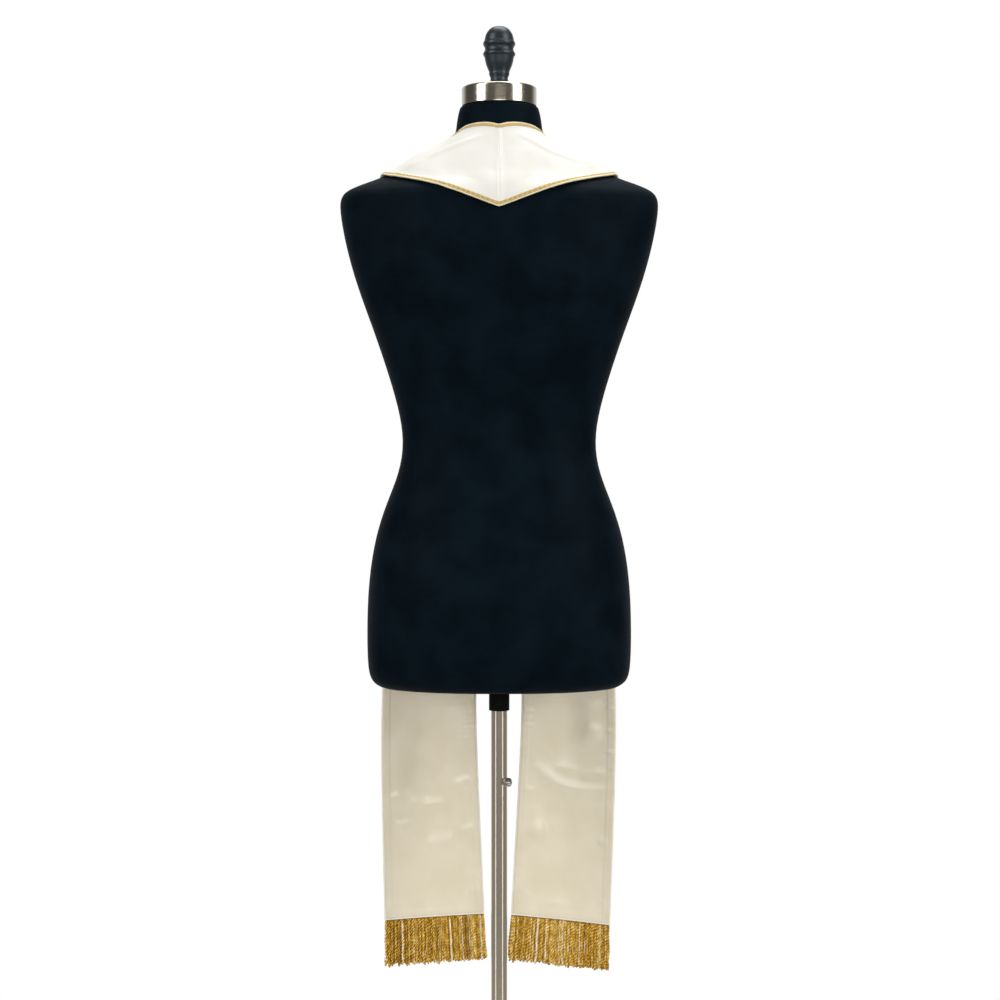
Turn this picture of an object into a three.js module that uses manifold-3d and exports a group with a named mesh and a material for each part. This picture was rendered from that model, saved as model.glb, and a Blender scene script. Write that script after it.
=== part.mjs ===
// A clergy stole worn on a limbless dress form, which stands on a pole and a round base.
//
// Millimetres, +Z up. The floor is z = 0, the pole is the Z axis and the form's chest faces -Y.
// "left" and "right" are the wearer's own, so the left band lies at +X.
//
// The stole is two bands joined at the centre back. Each band is a satin face on a lining, with a
// gold braid along both long edges and a bullion fringe caught in the hem. The form is a hollow
// shell with a neck cap and a turned finial. Its sleeve slides and turns on a mast.

import * as THREE from 'three';
import { mergeVertices } from 'three/addons/utils/BufferGeometryUtils.js';
import Module from 'manifold-3d';

const wasm = await Module();
wasm.setup();

// ---------------------------------------------------------------- driving dimensions

const GAP = 0.3; // between pieces that touch

// Cloth, measured outwards from the side that lies on the form
const LINING_THICKNESS = 1.0;
const LINING_INSET = 1.5; // the lining stops short of the band's edge
const FACE_THICKNESS = 1.0;
const BRAID_THICKNESS = 1.2;
const BRAID_WIDTH = 5.5;
const FRINGE_THICKNESS = 3.0;
const FRINGE_LENGTH = 60;
const FRINGE_FLARE = 1.5; // each end of the fringe spreads this far beyond the hem
const CLOTH_CLEARANCE = 1.5; // least space between the form and the lining
const BAND_PANELS = 5; // facets across a band, between its two braids
const HANG_START = 1240; // below this height a band hangs free
const WORN_STEP = 20; // longest facet along a band where it lies on the form
const HANGING_STEP = 60; // and where it hangs free
const DRAPE_PASSES = 6; // rounds of smoothing along a band, each followed by clearing the form

// Dress form
const FORM_SIDES = 36;
const FORM_WALL = 4.5;
const NECK_TOP = 1486;
const NECK_EDGE = 2; // rounding at the top of the neck
const BOARD_THICKNESS = 10;
const BOARD_INSET = 3.5; // from the lip of the shell
const CAP_RADIUS = 46.5;
const CAP_HEIGHT = 22;
const CAP_FILLET = 4.5;
const CAP_WALL = 2.5;
const FINIAL_HEIGHT = 77;

// Stand
const BASE_RADIUS = 175;
const BASE_THICKNESS = 7;
const BASE_EDGE = 2.5;
const MAST_RADIUS = 8;
const MAST_WALL = 1.5;
const MAST_TOP = 880;
const MAST_SIDES = 24;
const SLEEVE_RADIUS = 10;
const SLEEVE_BORE = 8.5;
const SLEEVE_BOTTOM = 300;
const SLEEVE_TOP = 776;
const COLLAR_RADIUS = 12.8;
const COLLAR_HEIGHT = 29;
const SCREW_HEIGHT = 644;
const SCREW_TURN = 135; // degrees from +X, seen from above
const SCREW_HOLE = 2.7;

// One row for each level of the form, from the neck down: w is half the width, front and back are
// the depths before and behind the pole, and square is the exponent of the superellipse, 2 for an
// ellipse and more for a squarer ring.
const FORM_LEVELS = [
  { z: 1486, w: 49.2, front: 49, back: 49, square: 2.0 },
  { z: 1474, w: 51.4, front: 50, back: 51, square: 2.0 },
  { z: 1460, w: 53.6, front: 52, back: 53, square: 2.0 },
  { z: 1448, w: 54.5, front: 53, back: 56.5, square: 2.0 },
  { z: 1434, w: 74.0, front: 56, back: 62, square: 1.85 },
  { z: 1421, w: 95.0, front: 58, back: 67, square: 1.7 },
  { z: 1408, w: 119.0, front: 60, back: 73.5, square: 1.55 },
  { z: 1395, w: 152.0, front: 63, back: 81, square: 1.45 },
  { z: 1387, w: 175.0, front: 68, back: 86.5, square: 1.6 },
  { z: 1380, w: 190.8, front: 73, back: 90.5, square: 1.78 },
  { z: 1372, w: 197.6, front: 79, back: 94, square: 2.0 },
  { z: 1360, w: 199.4, front: 87, back: 97, square: 2.15 },
  { z: 1330, w: 195.2, front: 103, back: 101, square: 2.2 },
  { z: 1290, w: 186.0, front: 124, back: 104, square: 2.2 },
  { z: 1250, w: 173.2, front: 134, back: 101, square: 2.2 },
  { z: 1210, w: 158.2, front: 130, back: 95, square: 2.2 },
  { z: 1165, w: 142.5, front: 112, back: 87, square: 2.2 },
  { z: 1110, w: 125.5, front: 91, back: 78, square: 2.2 },
  { z: 1068, w: 118.9, front: 84, back: 75, square: 2.2 },
  { z: 1030, w: 124.8, front: 86, back: 80, square: 2.25 },
  { z: 990, w: 142.0, front: 92, back: 93, square: 2.3 },
  { z: 950, w: 155.0, front: 97, back: 107, square: 2.3 },
  { z: 900, w: 163.0, front: 100, back: 116, square: 2.35 },
  { z: 850, w: 165.5, front: 99, back: 117, square: 2.35 },
  { z: 800, w: 165.3, front: 95, back: 111, square: 2.35 },
  { z: 776, w: 162.9, front: 91, back: 105, square: 2.35 },
  { z: 766, w: 154.8, front: 84, back: 98, square: 2.35 },
  { z: 762, w: 142.0, front: 73, back: 87, square: 2.35 },
];
const FORM_BOTTOM = FORM_LEVELS.at(-1).z;
// Levels of the shell's inner side
const INNER_HEIGHTS = [
  1472, 1446, 1432, 1420, 1410, 1402, 1395, 1388, 1380, 1362, 1330, 1280, 1240, 1200, 1160, 1120,
  1085, 1050, 1010, 960, 900, 776, 767, 763,
];

// One row for each station of the left band, from the centre back over the shoulder to the hem:
// the point on the neck edge, the point on the outer edge and how far the middle bows out.
const BAND_STATIONS = [
  { neck: [0, 57.5, 1456], outer: [0, 100.5, 1350.3], bow: 0 },
  { neck: [21, 54, 1458.5], outer: [36, 96.3, 1363.6], bow: 0 },
  { neck: [38, 42, 1456.5], outer: [71, 85.7, 1375.4], bow: 1 },
  { neck: [48.5, 24, 1453], outer: [104, 64.5, 1385.6], bow: 4 },
  { neck: [53, 3, 1450.5], outer: [132, 36, 1391], bow: 6.5 },
  { neck: [54.5, -20, 1445.5], outer: [148, -3, 1394.5], bow: 7 },
  { neck: [53, -45, 1432], outer: [148, -37, 1385], bow: 5 },
  { neck: [49.5, -73, 1398], outer: [147, -66, 1356], bow: 3 },
  { neck: [42, -102, 1338], outer: [143.5, -91, 1297], bow: 2 },
  { neck: [31, -132, 1258], outer: [138, -114, 1232], bow: 3 },
  { neck: [20, -140, 1180], outer: [130.5, -126, 1165], bow: 4 },
  { neck: [12.5, -140, 1085], outer: [124.6, -130, 1080], bow: 4 },
  { neck: [13, -140, 995], outer: [126.8, -131, 995], bow: 3 },
  { neck: [22, -139.5, 890], outer: [139.5, -131, 892], bow: 3 },
  { neck: [33.5, -139, 790], outer: [154, -131, 790], bow: 4 },
  { neck: [32.4, -139, 704], outer: [156, -131, 704], bow: 5 },
  { neck: [26.5, -139, 600], outer: [154, -131, 598], bow: 4 },
  { neck: [20, -139, 446.5], outer: [150.3, -131, 439.5], bow: 3 },
];

// The right band is the left one's mirror image, but hangs a little nearer the pole and lower:
// from the form's lower edge down it leans in by lean and sinks by neckDrop and outerDrop, all at
// the hem.
const SIDES = [
  { name: 'left', sign: 1, neckLean: 0, outerLean: 0, neckDrop: 0, outerDrop: 0 },
  { name: 'right', sign: -1, neckLean: 4, outerLean: 5, neckDrop: 1.5, outerDrop: 6.5 },
];
const LEAN_START = 800; // height at which the right band starts to differ

// ---------------------------------------------------------------- materials

const cloth = (color, roughness) => new THREE.MeshStandardMaterial({ color, roughness, metalness: 0 });
const metal = (color, roughness) => new THREE.MeshStandardMaterial({ color, roughness, metalness: 1 });

const SATIN = cloth('#f4f0e4', 0.4);
const LINING = cloth('#dcd2ba', 0.5);
const BRAID = new THREE.MeshStandardMaterial({ color: '#c9a55c', roughness: 0.45, metalness: 0.4 });
const BULLION = new THREE.MeshStandardMaterial({ color: '#b98a2e', roughness: 0.4, metalness: 0.5 });
const JERSEY = cloth('#0c1118', 0.85);
const BOARD = cloth('#0a0a0b', 0.8);
const TURNED_BLACK = cloth('#141415', 0.45);
const NICKEL = metal('#b4aea4', 0.32);
const STEEL = metal('#a9a7a2', 0.35);

// ---------------------------------------------------------------- helpers

// A closed body from any geometry: shared vertices are merged, facets that shrink to nothing on an
// axis are dropped, and the faces are turned outwards.
function closed(geometry) {
  const bare = geometry.clone();
  bare.deleteAttribute('normal');
  bare.deleteAttribute('uv');
  const merged = mergeVertices(bare, 1e-4);
  const index = merged.index.array;
  const point = (i) => new THREE.Vector3().fromBufferAttribute(merged.attributes.position, i);
  const faces = [];
  let volume = 0;
  for (let i = 0; i < index.length; i += 3) {
    const [a, b, c] = [index[i], index[i + 1], index[i + 2]];
    if (a === b || b === c || c === a) continue;
    faces.push([a, b, c]);
    volume += point(a).dot(point(b).cross(point(c)));
  }
  if (volume < 0) faces.forEach((face) => face.reverse());
  merged.setIndex(faces.flat());
  merged.computeVertexNormals();
  return merged;
}

// A geometry from points and triangles of point numbers
function solidFrom(points, faces) {
  const geometry = new THREE.BufferGeometry();
  geometry.setAttribute('position', new THREE.Float32BufferAttribute(points.flat(), 3));
  geometry.setIndex(faces.flat());
  return closed(geometry);
}

// A turned piece: outline holds [radius, height] pairs and starts and ends on the axis
function turned(outline, sides) {
  const lathe = new THREE.LatheGeometry(outline.map(([r, z]) => new THREE.Vector2(r, z)), sides);
  return closed(lathe.rotateX(Math.PI / 2));
}

// A turned ring: its outline closes on itself
const turnedRing = (outline, sides) => turned([...outline, outline[0]], sides);

// Points of a quarter-round from angle a to angle b, in degrees
function arc(r, z, radius, a, b, steps) {
  return Array.from({ length: steps + 1 }, (_, i) => {
    const angle = THREE.MathUtils.degToRad(a + ((b - a) * i) / steps);
    return [r + radius * Math.cos(angle), z + radius * Math.sin(angle)];
  });
}

// Stacks rings of points, each with as many points as the next, into a tube
function tubeFaces(ringCount, sides) {
  const faces = [];
  for (let ring = 0; ring + 1 < ringCount; ring++) {
    for (let i = 0; i < sides; i++) {
      const a = ring * sides + i;
      const b = ring * sides + ((i + 1) % sides);
      faces.push([a, b, b + sides], [a, b + sides, a + sides]);
    }
  }
  return faces;
}

function toManifold(geometry) {
  return new wasm.Manifold(new wasm.Mesh({
    numProp: 3,
    vertProperties: new Float32Array(geometry.attributes.position.array),
    triVerts: new Uint32Array(geometry.index.array),
  }));
}

function cutAway(geometry, tool) {
  const mesh = toManifold(geometry).subtract(toManifold(tool)).getMesh();
  const cut = new THREE.BufferGeometry();
  cut.setAttribute('position', new THREE.BufferAttribute(mesh.vertProperties, 3));
  cut.setIndex(new THREE.BufferAttribute(mesh.triVerts, 1));
  return closed(cut);
}

function piece(name, geometry, material) {
  const mesh = new THREE.Mesh(geometry, material);
  mesh.name = name;
  return mesh;
}

// ---------------------------------------------------------------- dress form

// Cubic interpolation down the table of levels
function formLevel(z) {
  const rows = FORM_LEVELS;
  if (z >= rows[0].z) return rows[0];
  if (z <= FORM_BOTTOM) return rows.at(-1);
  const k = rows.findIndex((row) => row.z <= z) - 1;
  const [above, below] = [rows[k], rows[k + 1]];
  const before = rows[k - 1] ?? above;
  const after = rows[k + 2] ?? below;
  const span = below.z - above.z;
  const t = (z - above.z) / span;
  const blend = (key) => {
    const slopeIn = ((below[key] - before[key]) / (below.z - before.z)) * span;
    const slopeOut = ((after[key] - above[key]) / (after.z - above.z)) * span;
    return (2 * t ** 3 - 3 * t ** 2 + 1) * above[key] + (t ** 3 - 2 * t ** 2 + t) * slopeIn
      + (3 * t ** 2 - 2 * t ** 3) * below[key] + (t ** 3 - t ** 2) * slopeOut;
  };
  return { z, w: blend('w'), front: blend('front'), back: blend('back'), square: blend('square') };
}

// The ring of points round a level
function formRing({ z, w, front, back, square }) {
  const power = (value) => Math.sign(value) * Math.abs(value) ** (2 / square);
  return Array.from({ length: FORM_SIDES }, (_, i) => {
    const angle = (2 * Math.PI * i) / FORM_SIDES;
    const depth = Math.sin(angle) > 0 ? back : front;
    return [w * power(Math.cos(angle)), depth * power(Math.sin(angle)), z];
  });
}

// The same level moved in by the wall: square to the side's slope in width, level in depth
function innerLevel(z) {
  const slope = (formLevel(z + 1).w - formLevel(z - 1).w) / 2;
  const out = 1 / Math.hypot(1, slope);
  const inner = formLevel(z + FORM_WALL * slope * out);
  return {
    ...inner,
    w: formLevel(z).w - FORM_WALL * out,
    front: inner.front - FORM_WALL,
    back: inner.back - FORM_WALL,
  };
}

function formShell() {
  const outer = FORM_LEVELS.map(({ z }) => formLevel(z)).reverse();
  const top = outer.at(-1);
  const shrink = (level, by, drop) => ({
    ...level,
    z: level.z - drop,
    w: level.w - by,
    front: level.front - by,
    back: level.back - by,
  });
  outer.push(shrink(top, 0, NECK_EDGE), shrink(top, NECK_EDGE, 0));
  outer.splice(-3, 1);
  const inner = INNER_HEIGHTS.map(innerLevel);
  const rings = [...outer, ...inner];
  const points = rings.flatMap(formRing);
  const faces = tubeFaces(outer.length, FORM_SIDES);
  const innerStart = outer.length * FORM_SIDES;
  faces.push(...tubeFaces(inner.length, FORM_SIDES).map((face) => face.map((i) => i + innerStart)));
  const topCentre = points.push([0, 0, NECK_TOP]) - 1;
  const underCentre = points.push([0, 0, inner[0].z]) - 1;
  const lastInner = (rings.length - 1) * FORM_SIDES;
  for (let i = 0; i < FORM_SIDES; i++) {
    const next = (i + 1) % FORM_SIDES;
    const topRing = innerStart - FORM_SIDES;
    faces.push([topRing + i, topRing + next, topCentre]);
    faces.push([innerStart + next, innerStart + i, underCentre]);
    faces.push([lastInner + i, lastInner + next, next], [lastInner + i, next, i]);
  }
  return solidFrom(points, faces);
}

function baseBoard() {
  const lip = formLevel(FORM_BOTTOM);
  const inset = FORM_WALL + BOARD_INSET;
  const outline = formRing({
    ...lip,
    w: lip.w - inset,
    front: lip.front - inset,
    back: lip.back - inset,
  });
  const shape = new THREE.Shape(outline.map(([x, y]) => new THREE.Vector2(x, y)));
  const hole = new THREE.Path();
  hole.absarc(0, 0, SLEEVE_RADIUS + GAP, 0, 2 * Math.PI, true);
  shape.holes.push(hole);
  const options = { depth: BOARD_THICKNESS, bevelEnabled: false, curveSegments: 16 };
  return closed(new THREE.ExtrudeGeometry(shape, options).translate(0, 0, FORM_BOTTOM));
}

// A spun metal cup, open below
function neckCap() {
  const bottom = NECK_TOP + GAP;
  const top = bottom + CAP_HEIGHT;
  return turned([
    [0, top - CAP_WALL],
    [CAP_RADIUS - CAP_FILLET - 1, top - CAP_WALL],
    [CAP_RADIUS - CAP_WALL, top - CAP_FILLET - 1],
    [CAP_RADIUS - CAP_WALL, bottom],
    [CAP_RADIUS - 0.6, bottom],
    [CAP_RADIUS, bottom + 0.6],
    ...arc(CAP_RADIUS - CAP_FILLET, top - CAP_FILLET, CAP_FILLET, 0, 90, 5),
    [0, top],
  ], 40);
}

// Turned finial: [radius, height above the cap] from the flared foot to the dome
function neckFinial() {
  const foot = NECK_TOP + CAP_HEIGHT + 2 * GAP;
  const outline = [
    [12.6, 0], [12.4, 5], [11, 9], [10.9, 12], [12, 14.5], [12.8, 16.8], [12.4, 19], [14.2, 23],
    [16.6, 29.5], [17.9, 35.5], [18.5, 38.3], [20, 41.2], [18.4, 44.4], [17.7, 47.8], [18.5, 50.6],
    [20, 54], [18.6, 57.2], [17.4, 60.5], [15.8, 65.5], [12.9, 70], [9.5, 73.5], [5.2, 76],
  ];
  return turned([[0, foot], ...outline.map(([r, h]) => [r, foot + h]), [0, foot + FINIAL_HEIGHT]], 28);
}

// ---------------------------------------------------------------- stand

function basePlate() {
  return turned([
    [0, 0],
    [BASE_RADIUS - 1, 0],
    [BASE_RADIUS, 1],
    ...arc(BASE_RADIUS - BASE_EDGE, BASE_THICKNESS - BASE_EDGE, BASE_EDGE, 0, 90, 3),
    [0, BASE_THICKNESS],
  ], 48);
}

function baseSocket() {
  const bottom = BASE_THICKNESS + GAP;
  const bore = MAST_RADIUS + GAP;
  return turnedRing([
    [bore, bottom],
    [38, bottom],
    [38, bottom + 4],
    [35, bottom + 6],
    [17, bottom + 9],
    [15, bottom + 12],
    [15, bottom + 62],
    [13.5, bottom + 64],
    [bore, bottom + 64],
  ], 32);
}

function poleMast() {
  const bottom = BASE_THICKNESS + GAP;
  const bore = MAST_RADIUS - MAST_WALL;
  return turnedRing([
    [bore, bottom],
    [MAST_RADIUS, bottom],
    [MAST_RADIUS, MAST_TOP - 0.5],
    [MAST_RADIUS - 0.5, MAST_TOP],
    [bore, MAST_TOP],
  ], MAST_SIDES);
}

// Everything on the lock screw is turned about its own axis, which points away from the pole
function alongScrew(geometry) {
  geometry.rotateY(Math.PI / 2);
  geometry.rotateZ(THREE.MathUtils.degToRad(SCREW_TURN));
  return closed(geometry.translate(0, 0, SCREW_HEIGHT));
}

function poleSleeve() {
  const tube = turnedRing([
    [SLEEVE_BORE, SLEEVE_BOTTOM],
    [SLEEVE_RADIUS - 0.5, SLEEVE_BOTTOM],
    [SLEEVE_RADIUS, SLEEVE_BOTTOM + 0.5],
    [SLEEVE_RADIUS, SLEEVE_TOP],
    [SLEEVE_BORE, SLEEVE_TOP],
  ], MAST_SIDES);
  const drill = alongScrew(turned([[0, 5], [SCREW_HOLE, 5], [SCREW_HOLE, 14], [0, 14]], 16));
  return cutAway(tube, drill);
}

function poleCollar() {
  const top = FORM_BOTTOM - GAP;
  const bottom = top - COLLAR_HEIGHT;
  const bore = SLEEVE_RADIUS + GAP;
  return turnedRing([
    [bore, bottom],
    [COLLAR_RADIUS - 1.2, bottom],
    [COLLAR_RADIUS, bottom + 1.2],
    [COLLAR_RADIUS, top],
    [bore, top],
  ], 28);
}

// Thumb screw: [radius, distance from the pole's axis] from the tip to the knob's nub
function lockScrew() {
  const outline = [
    [2.3, 8.6], [2.3, 10.6], [4.2, 10.6], [4.2, 12], [5.6, 12.2], [6.25, 12.9], [6.25, 17.2],
    [5.6, 17.9], [3.2, 18.1], [2.6, 18.6], [2.6, 19.6], [2, 20.2],
  ];
  return alongScrew(turned([[0, 8.6], ...outline, [0, 20.2]], 20));
}

// ---------------------------------------------------------------- stole

// How far a point lies outside the form, and the way out. The form's rings give a scale factor
// that is 1 on the surface, and its slope turns that factor into a distance.
function formGap(point) {
  const factor = (x, y, z) => {
    const { w, front, back, square } = formLevel(z);
    const depth = y > 0 ? back : front;
    return ((Math.abs(x) / w) ** square + (Math.abs(y) / depth) ** square) ** (1 / square);
  };
  const { x, y, z } = point;
  const h = 0.5;
  const slope = new THREE.Vector3(
    factor(x + h, y, z) - factor(x - h, y, z),
    factor(x, y + h, z) - factor(x, y - h, z),
    factor(x, y, z + h) - factor(x, y, z - h),
  ).divideScalar(2 * h);
  return { distance: (factor(x, y, z) - 1) / slope.length(), out: slope.normalize() };
}

// Moves a point out until the cloth clears the form
function settle(point) {
  for (let i = 0; i < 12; i++) {
    const { distance, out } = formGap(point);
    if (distance >= CLOTH_CLEARANCE - 0.01) break;
    point.addScaledVector(out, CLOTH_CLEARANCE - distance);
  }
  return point;
}

// Lets a grid of points lie as cloth does: it clears the form, and spans its hollows smoothly
function drape(points) {
  points.flat().forEach(settle);
  for (let pass = 0; pass < DRAPE_PASSES; pass++) {
    const before = points.map((row) => row.map((point) => point.clone()));
    for (let i = 1; i + 1 < points.length; i++) {
      points[i].forEach((point, j) => {
        point.lerp(before[i - 1][j].clone().lerp(before[i + 1][j], 0.5), 0.5);
        settle(point);
      });
    }
  }
}

// The two edges and the bow along a band, in steps short enough for the curves there
function bandSections(side) {
  const edge = (key) => new THREE.CatmullRomCurve3(
    BAND_STATIONS.map((station) => {
      const [x, y, z] = station[key];
      const share = THREE.MathUtils.clamp((LEAN_START - z) / (LEAN_START - 445), 0, 1);
      return new THREE.Vector3(x - side[`${key}Lean`] * share, y, z - side[`${key}Drop`] * share);
    }),
  );
  const [neckEdge, outerEdge] = [edge('neck'), edge('outer')];
  const rows = BAND_STATIONS.length - 1;
  const sections = [];
  const add = (t) => {
    const row = Math.min(Math.floor(t), rows - 1);
    const bow = THREE.MathUtils.lerp(BAND_STATIONS[row].bow, BAND_STATIONS[row + 1].bow, t - row);
    sections.push({ neck: neckEdge.getPoint(t / rows), outer: outerEdge.getPoint(t / rows), bow });
  };
  add(0);
  for (let row = 0; row < rows; row++) {
    const start = outerEdge.getPoint(row / rows);
    const longest = start.z > HANG_START ? WORN_STEP : HANGING_STEP;
    const steps = Math.ceil(start.distanceTo(outerEdge.getPoint((row + 1) / rows)) / longest);
    for (let step = 1; step <= steps; step++) add(row + step / steps);
  }
  return sections;
}

// The grid of points that every layer of a band is made from, with the way out at each point.
// Its first and last columns are a braid apart, so the braids lie on facets of their own.
function bandGrid(side) {
  const centreBack = GAP / 2;
  const points = bandSections(side).map(({ neck, outer, bow }) => {
    const width = neck.distanceTo(outer);
    const middle = width - 2 * BRAID_WIDTH;
    const stops = [0];
    for (let i = 0; i <= BAND_PANELS; i++) stops.push(BRAID_WIDTH + (middle * i) / BAND_PANELS);
    stops.push(width);
    const across = outer.clone().sub(neck);
    const lift = formGap(neck.clone().lerp(outer, 0.5)).out;
    return stops.map((stop) => {
      const u = stop / width;
      return neck.clone().addScaledVector(across, u).addScaledVector(lift, bow * 4 * u * (1 - u));
    });
  });
  drape(points);
  points[0].forEach((point) => point.setX(centreBack));
  const at = (i, j) => points[THREE.MathUtils.clamp(i, 0, points.length - 1)][
    THREE.MathUtils.clamp(j, 0, points[0].length - 1)];
  return points.map((row, i) => row.map((point, j) => {
    const along = at(i + 1, j).clone().sub(at(i - 1, j));
    const across = at(i, j + 1).clone().sub(at(i, j - 1));
    const out = along.cross(across);
    if (i === 0) out.x = 0;
    out.normalize();
    const mirror = new THREE.Vector3(side.sign, 1, 1);
    return { point: point.clone().multiply(mirror), out: out.multiply(mirror) };
  }));
}

// A wall on part of a grid, from one height above it to another
function wall(grid, bottom, top) {
  const [rows, columns] = [grid.length, grid[0].length];
  const layer = (height) => grid.flat().map(({ point, out }) => (
    point.clone().addScaledVector(out, height).toArray()));
  const points = [...layer(bottom), ...layer(top)];
  const upper = rows * columns;
  const faces = [];
  for (let i = 0; i + 1 < rows; i++) {
    for (let j = 0; j + 1 < columns; j++) {
      const [a, b] = [i * columns + j, i * columns + j + 1];
      const [c, d] = [a + columns, b + columns];
      faces.push([a, b, d], [a, d, c]);
      faces.push([upper + a, upper + d, upper + b], [upper + a, upper + c, upper + d]);
    }
  }
  const rim = [];
  for (let j = 0; j < columns; j++) rim.push(j);
  for (let i = 1; i < rows; i++) rim.push(i * columns + columns - 1);
  for (let j = columns - 2; j >= 0; j--) rim.push((rows - 1) * columns + j);
  for (let i = rows - 2; i > 0; i--) rim.push(i * columns);
  rim.forEach((a, k) => {
    const b = rim[(k + 1) % rim.length];
    faces.push([b, a, upper + a], [b, upper + a, upper + b]);
  });
  return solidFrom(points, faces);
}

// The grid with its long edges and its hem drawn in
function inset(grid, by) {
  const toward = (from, to) => {
    const share = by / from.point.distanceTo(to.point);
    return {
      point: from.point.clone().lerp(to.point, share),
      out: from.out.clone().lerp(to.out, share).normalize(),
    };
  };
  const narrowed = grid.map((row) => [
    toward(row[0], row[1]),
    ...row.slice(1, -1),
    toward(row.at(-1), row.at(-2)),
  ]);
  const lastRow = narrowed.at(-1).map((cell, j) => toward(cell, narrowed.at(-2)[j]));
  return [...narrowed.slice(0, -1), lastRow];
}

// The fringe hangs plumb from the hem
function fringeGrid(grid) {
  const hem = grid.at(-1);
  const sideways = hem.at(-1).point.clone().sub(hem[0].point).normalize();
  return [GAP, FRINGE_LENGTH / 2, FRINGE_LENGTH].map((drop) => hem.map(({ point, out }, j) => {
    const spread = (2 * j) / (hem.length - 1) - 1;
    const hung = point.clone().addScaledVector(sideways, (spread * FRINGE_FLARE * drop) / FRINGE_LENGTH);
    hung.z -= drop;
    return { point: hung, out: out.clone().setZ(0).normalize() };
  }));
}

function stoleSide(side) {
  const grid = bandGrid(side);
  const faceBottom = LINING_THICKNESS + GAP;
  const faceTop = faceBottom + FACE_THICKNESS;
  const braidBottom = faceTop + GAP;
  const braidTop = braidBottom + BRAID_THICKNESS;
  const fringeBottom = (faceTop - FRINGE_THICKNESS) / 2;
  const fringeTop = fringeBottom + FRINGE_THICKNESS;
  const neckStrip = grid.map((row) => row.slice(0, 2));
  const outerStrip = grid.map((row) => row.slice(-2));
  return [
    piece(`lining_${side.name}`, wall(inset(grid, LINING_INSET), 0, LINING_THICKNESS), LINING),
    piece(`band_${side.name}`, wall(grid, faceBottom, faceTop), SATIN),
    piece(`braid_inner_${side.name}`, wall(neckStrip, braidBottom, braidTop), BRAID),
    piece(`braid_outer_${side.name}`, wall(outerStrip, braidBottom, braidTop), BRAID),
    piece(`fringe_${side.name}`, wall(fringeGrid(grid), fringeBottom, fringeTop), BULLION),
  ];
}

// ---------------------------------------------------------------- the whole object

const stand = new THREE.Group();
stand.add(
  piece('base_plate', basePlate(), STEEL),
  piece('base_socket', baseSocket(), STEEL),
  piece('pole_mast', poleMast(), STEEL),
);

const form = new THREE.Group();
form.add(
  piece('form_shell', formShell(), JERSEY),
  piece('form_base_board', baseBoard(), BOARD),
  piece('neck_cap', neckCap(), NICKEL),
  piece('neck_finial', neckFinial(), TURNED_BLACK),
  piece('pole_collar', poleCollar(), TURNED_BLACK),
  piece('pole_sleeve', poleSleeve(), NICKEL),
  piece('lock_screw', lockScrew(), NICKEL),
);

const stole = new THREE.Group();
SIDES.forEach((side) => stole.add(...stoleSide(side)));

const group = new THREE.Group();
group.add(stand, form, stole);

export default group;
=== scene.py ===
# %% [markdown]
# # A clergy stole worn on a dress form
#
# A stole is a long narrow vestment: two satin bands joined at the back of the neck, lined, edged
# with gold braid and finished with a bullion fringe at each hem. Here it is worn on a black form.
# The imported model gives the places. This lesson dresses it: each plain solid gets a finer piece
# in its place, or a better finish.

# %% Load the frame
import math

import bpy
import numpy as np
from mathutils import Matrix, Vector


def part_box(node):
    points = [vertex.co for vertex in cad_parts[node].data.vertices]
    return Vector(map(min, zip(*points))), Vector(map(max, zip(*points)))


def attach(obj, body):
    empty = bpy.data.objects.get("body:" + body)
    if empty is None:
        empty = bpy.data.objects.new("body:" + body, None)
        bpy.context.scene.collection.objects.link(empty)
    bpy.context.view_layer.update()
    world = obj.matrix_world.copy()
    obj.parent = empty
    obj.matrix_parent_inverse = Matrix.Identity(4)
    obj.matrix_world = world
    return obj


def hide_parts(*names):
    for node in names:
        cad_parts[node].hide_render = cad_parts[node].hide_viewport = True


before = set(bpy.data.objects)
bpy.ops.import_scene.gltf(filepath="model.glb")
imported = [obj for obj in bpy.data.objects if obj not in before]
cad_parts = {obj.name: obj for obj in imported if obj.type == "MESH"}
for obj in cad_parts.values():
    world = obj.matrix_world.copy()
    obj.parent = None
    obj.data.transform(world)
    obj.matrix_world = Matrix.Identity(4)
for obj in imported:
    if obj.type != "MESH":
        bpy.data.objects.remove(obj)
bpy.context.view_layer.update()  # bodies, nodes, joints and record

MM = 0.001
print("nodes:", len(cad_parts))

# %% [markdown]
# ## Camera
#
# A long lens looks from behind, about level with the waist, so the bands and the pole stay
# straight.

# %% Make the camera
CAMERA_PLACE = (-1.0, 2600, 1052)
CAMERA_TILT = 1.2375  # degrees below level
LENS, SENSOR = 75, 36
bpy.ops.object.camera_add(
    location=[value * MM for value in CAMERA_PLACE],
    rotation=(math.radians(90 - CAMERA_TILT), 0, math.pi),
)
camera = bpy.context.object
camera.data.lens, camera.data.sensor_width = LENS, SENSOR
bpy.context.scene.camera = camera
print("camera at", CAMERA_PLACE, "mm, with a lens of", LENS, "mm")

# %% [markdown]
# ## Starting a material
#
# A colour is written as an sRGB hex code, as a paint chart gives it, and turned to the linear
# numbers that a shader works in. A material starts with its even values, set on the shader's own
# sockets, and nodes are added only where its surface varies.

# %% Colours, nodes and materials
def linear(code):
    """An sRGB hex colour as linear red, green, blue and 1."""
    parts = [int(code[i : i + 2], 16) / 255 for i in (1, 3, 5)]
    return [p / 12.92 if p <= 0.04045 else ((p + 0.055) / 1.055) ** 2.4 for p in parts] + [1.0]


def add(tree, kind, inputs=None, **settings):
    """Adds one node. settings are its own, and inputs are numbers, colours or other outputs."""
    node = tree.nodes.new(kind)
    for key, value in settings.items():
        setattr(node, key, value)
    for key, value in (inputs or {}).items():
        if isinstance(value, bpy.types.NodeSocket):
            tree.links.new(value, node.inputs[key])
        else:
            node.inputs[key].default_value = value
    return node


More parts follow.
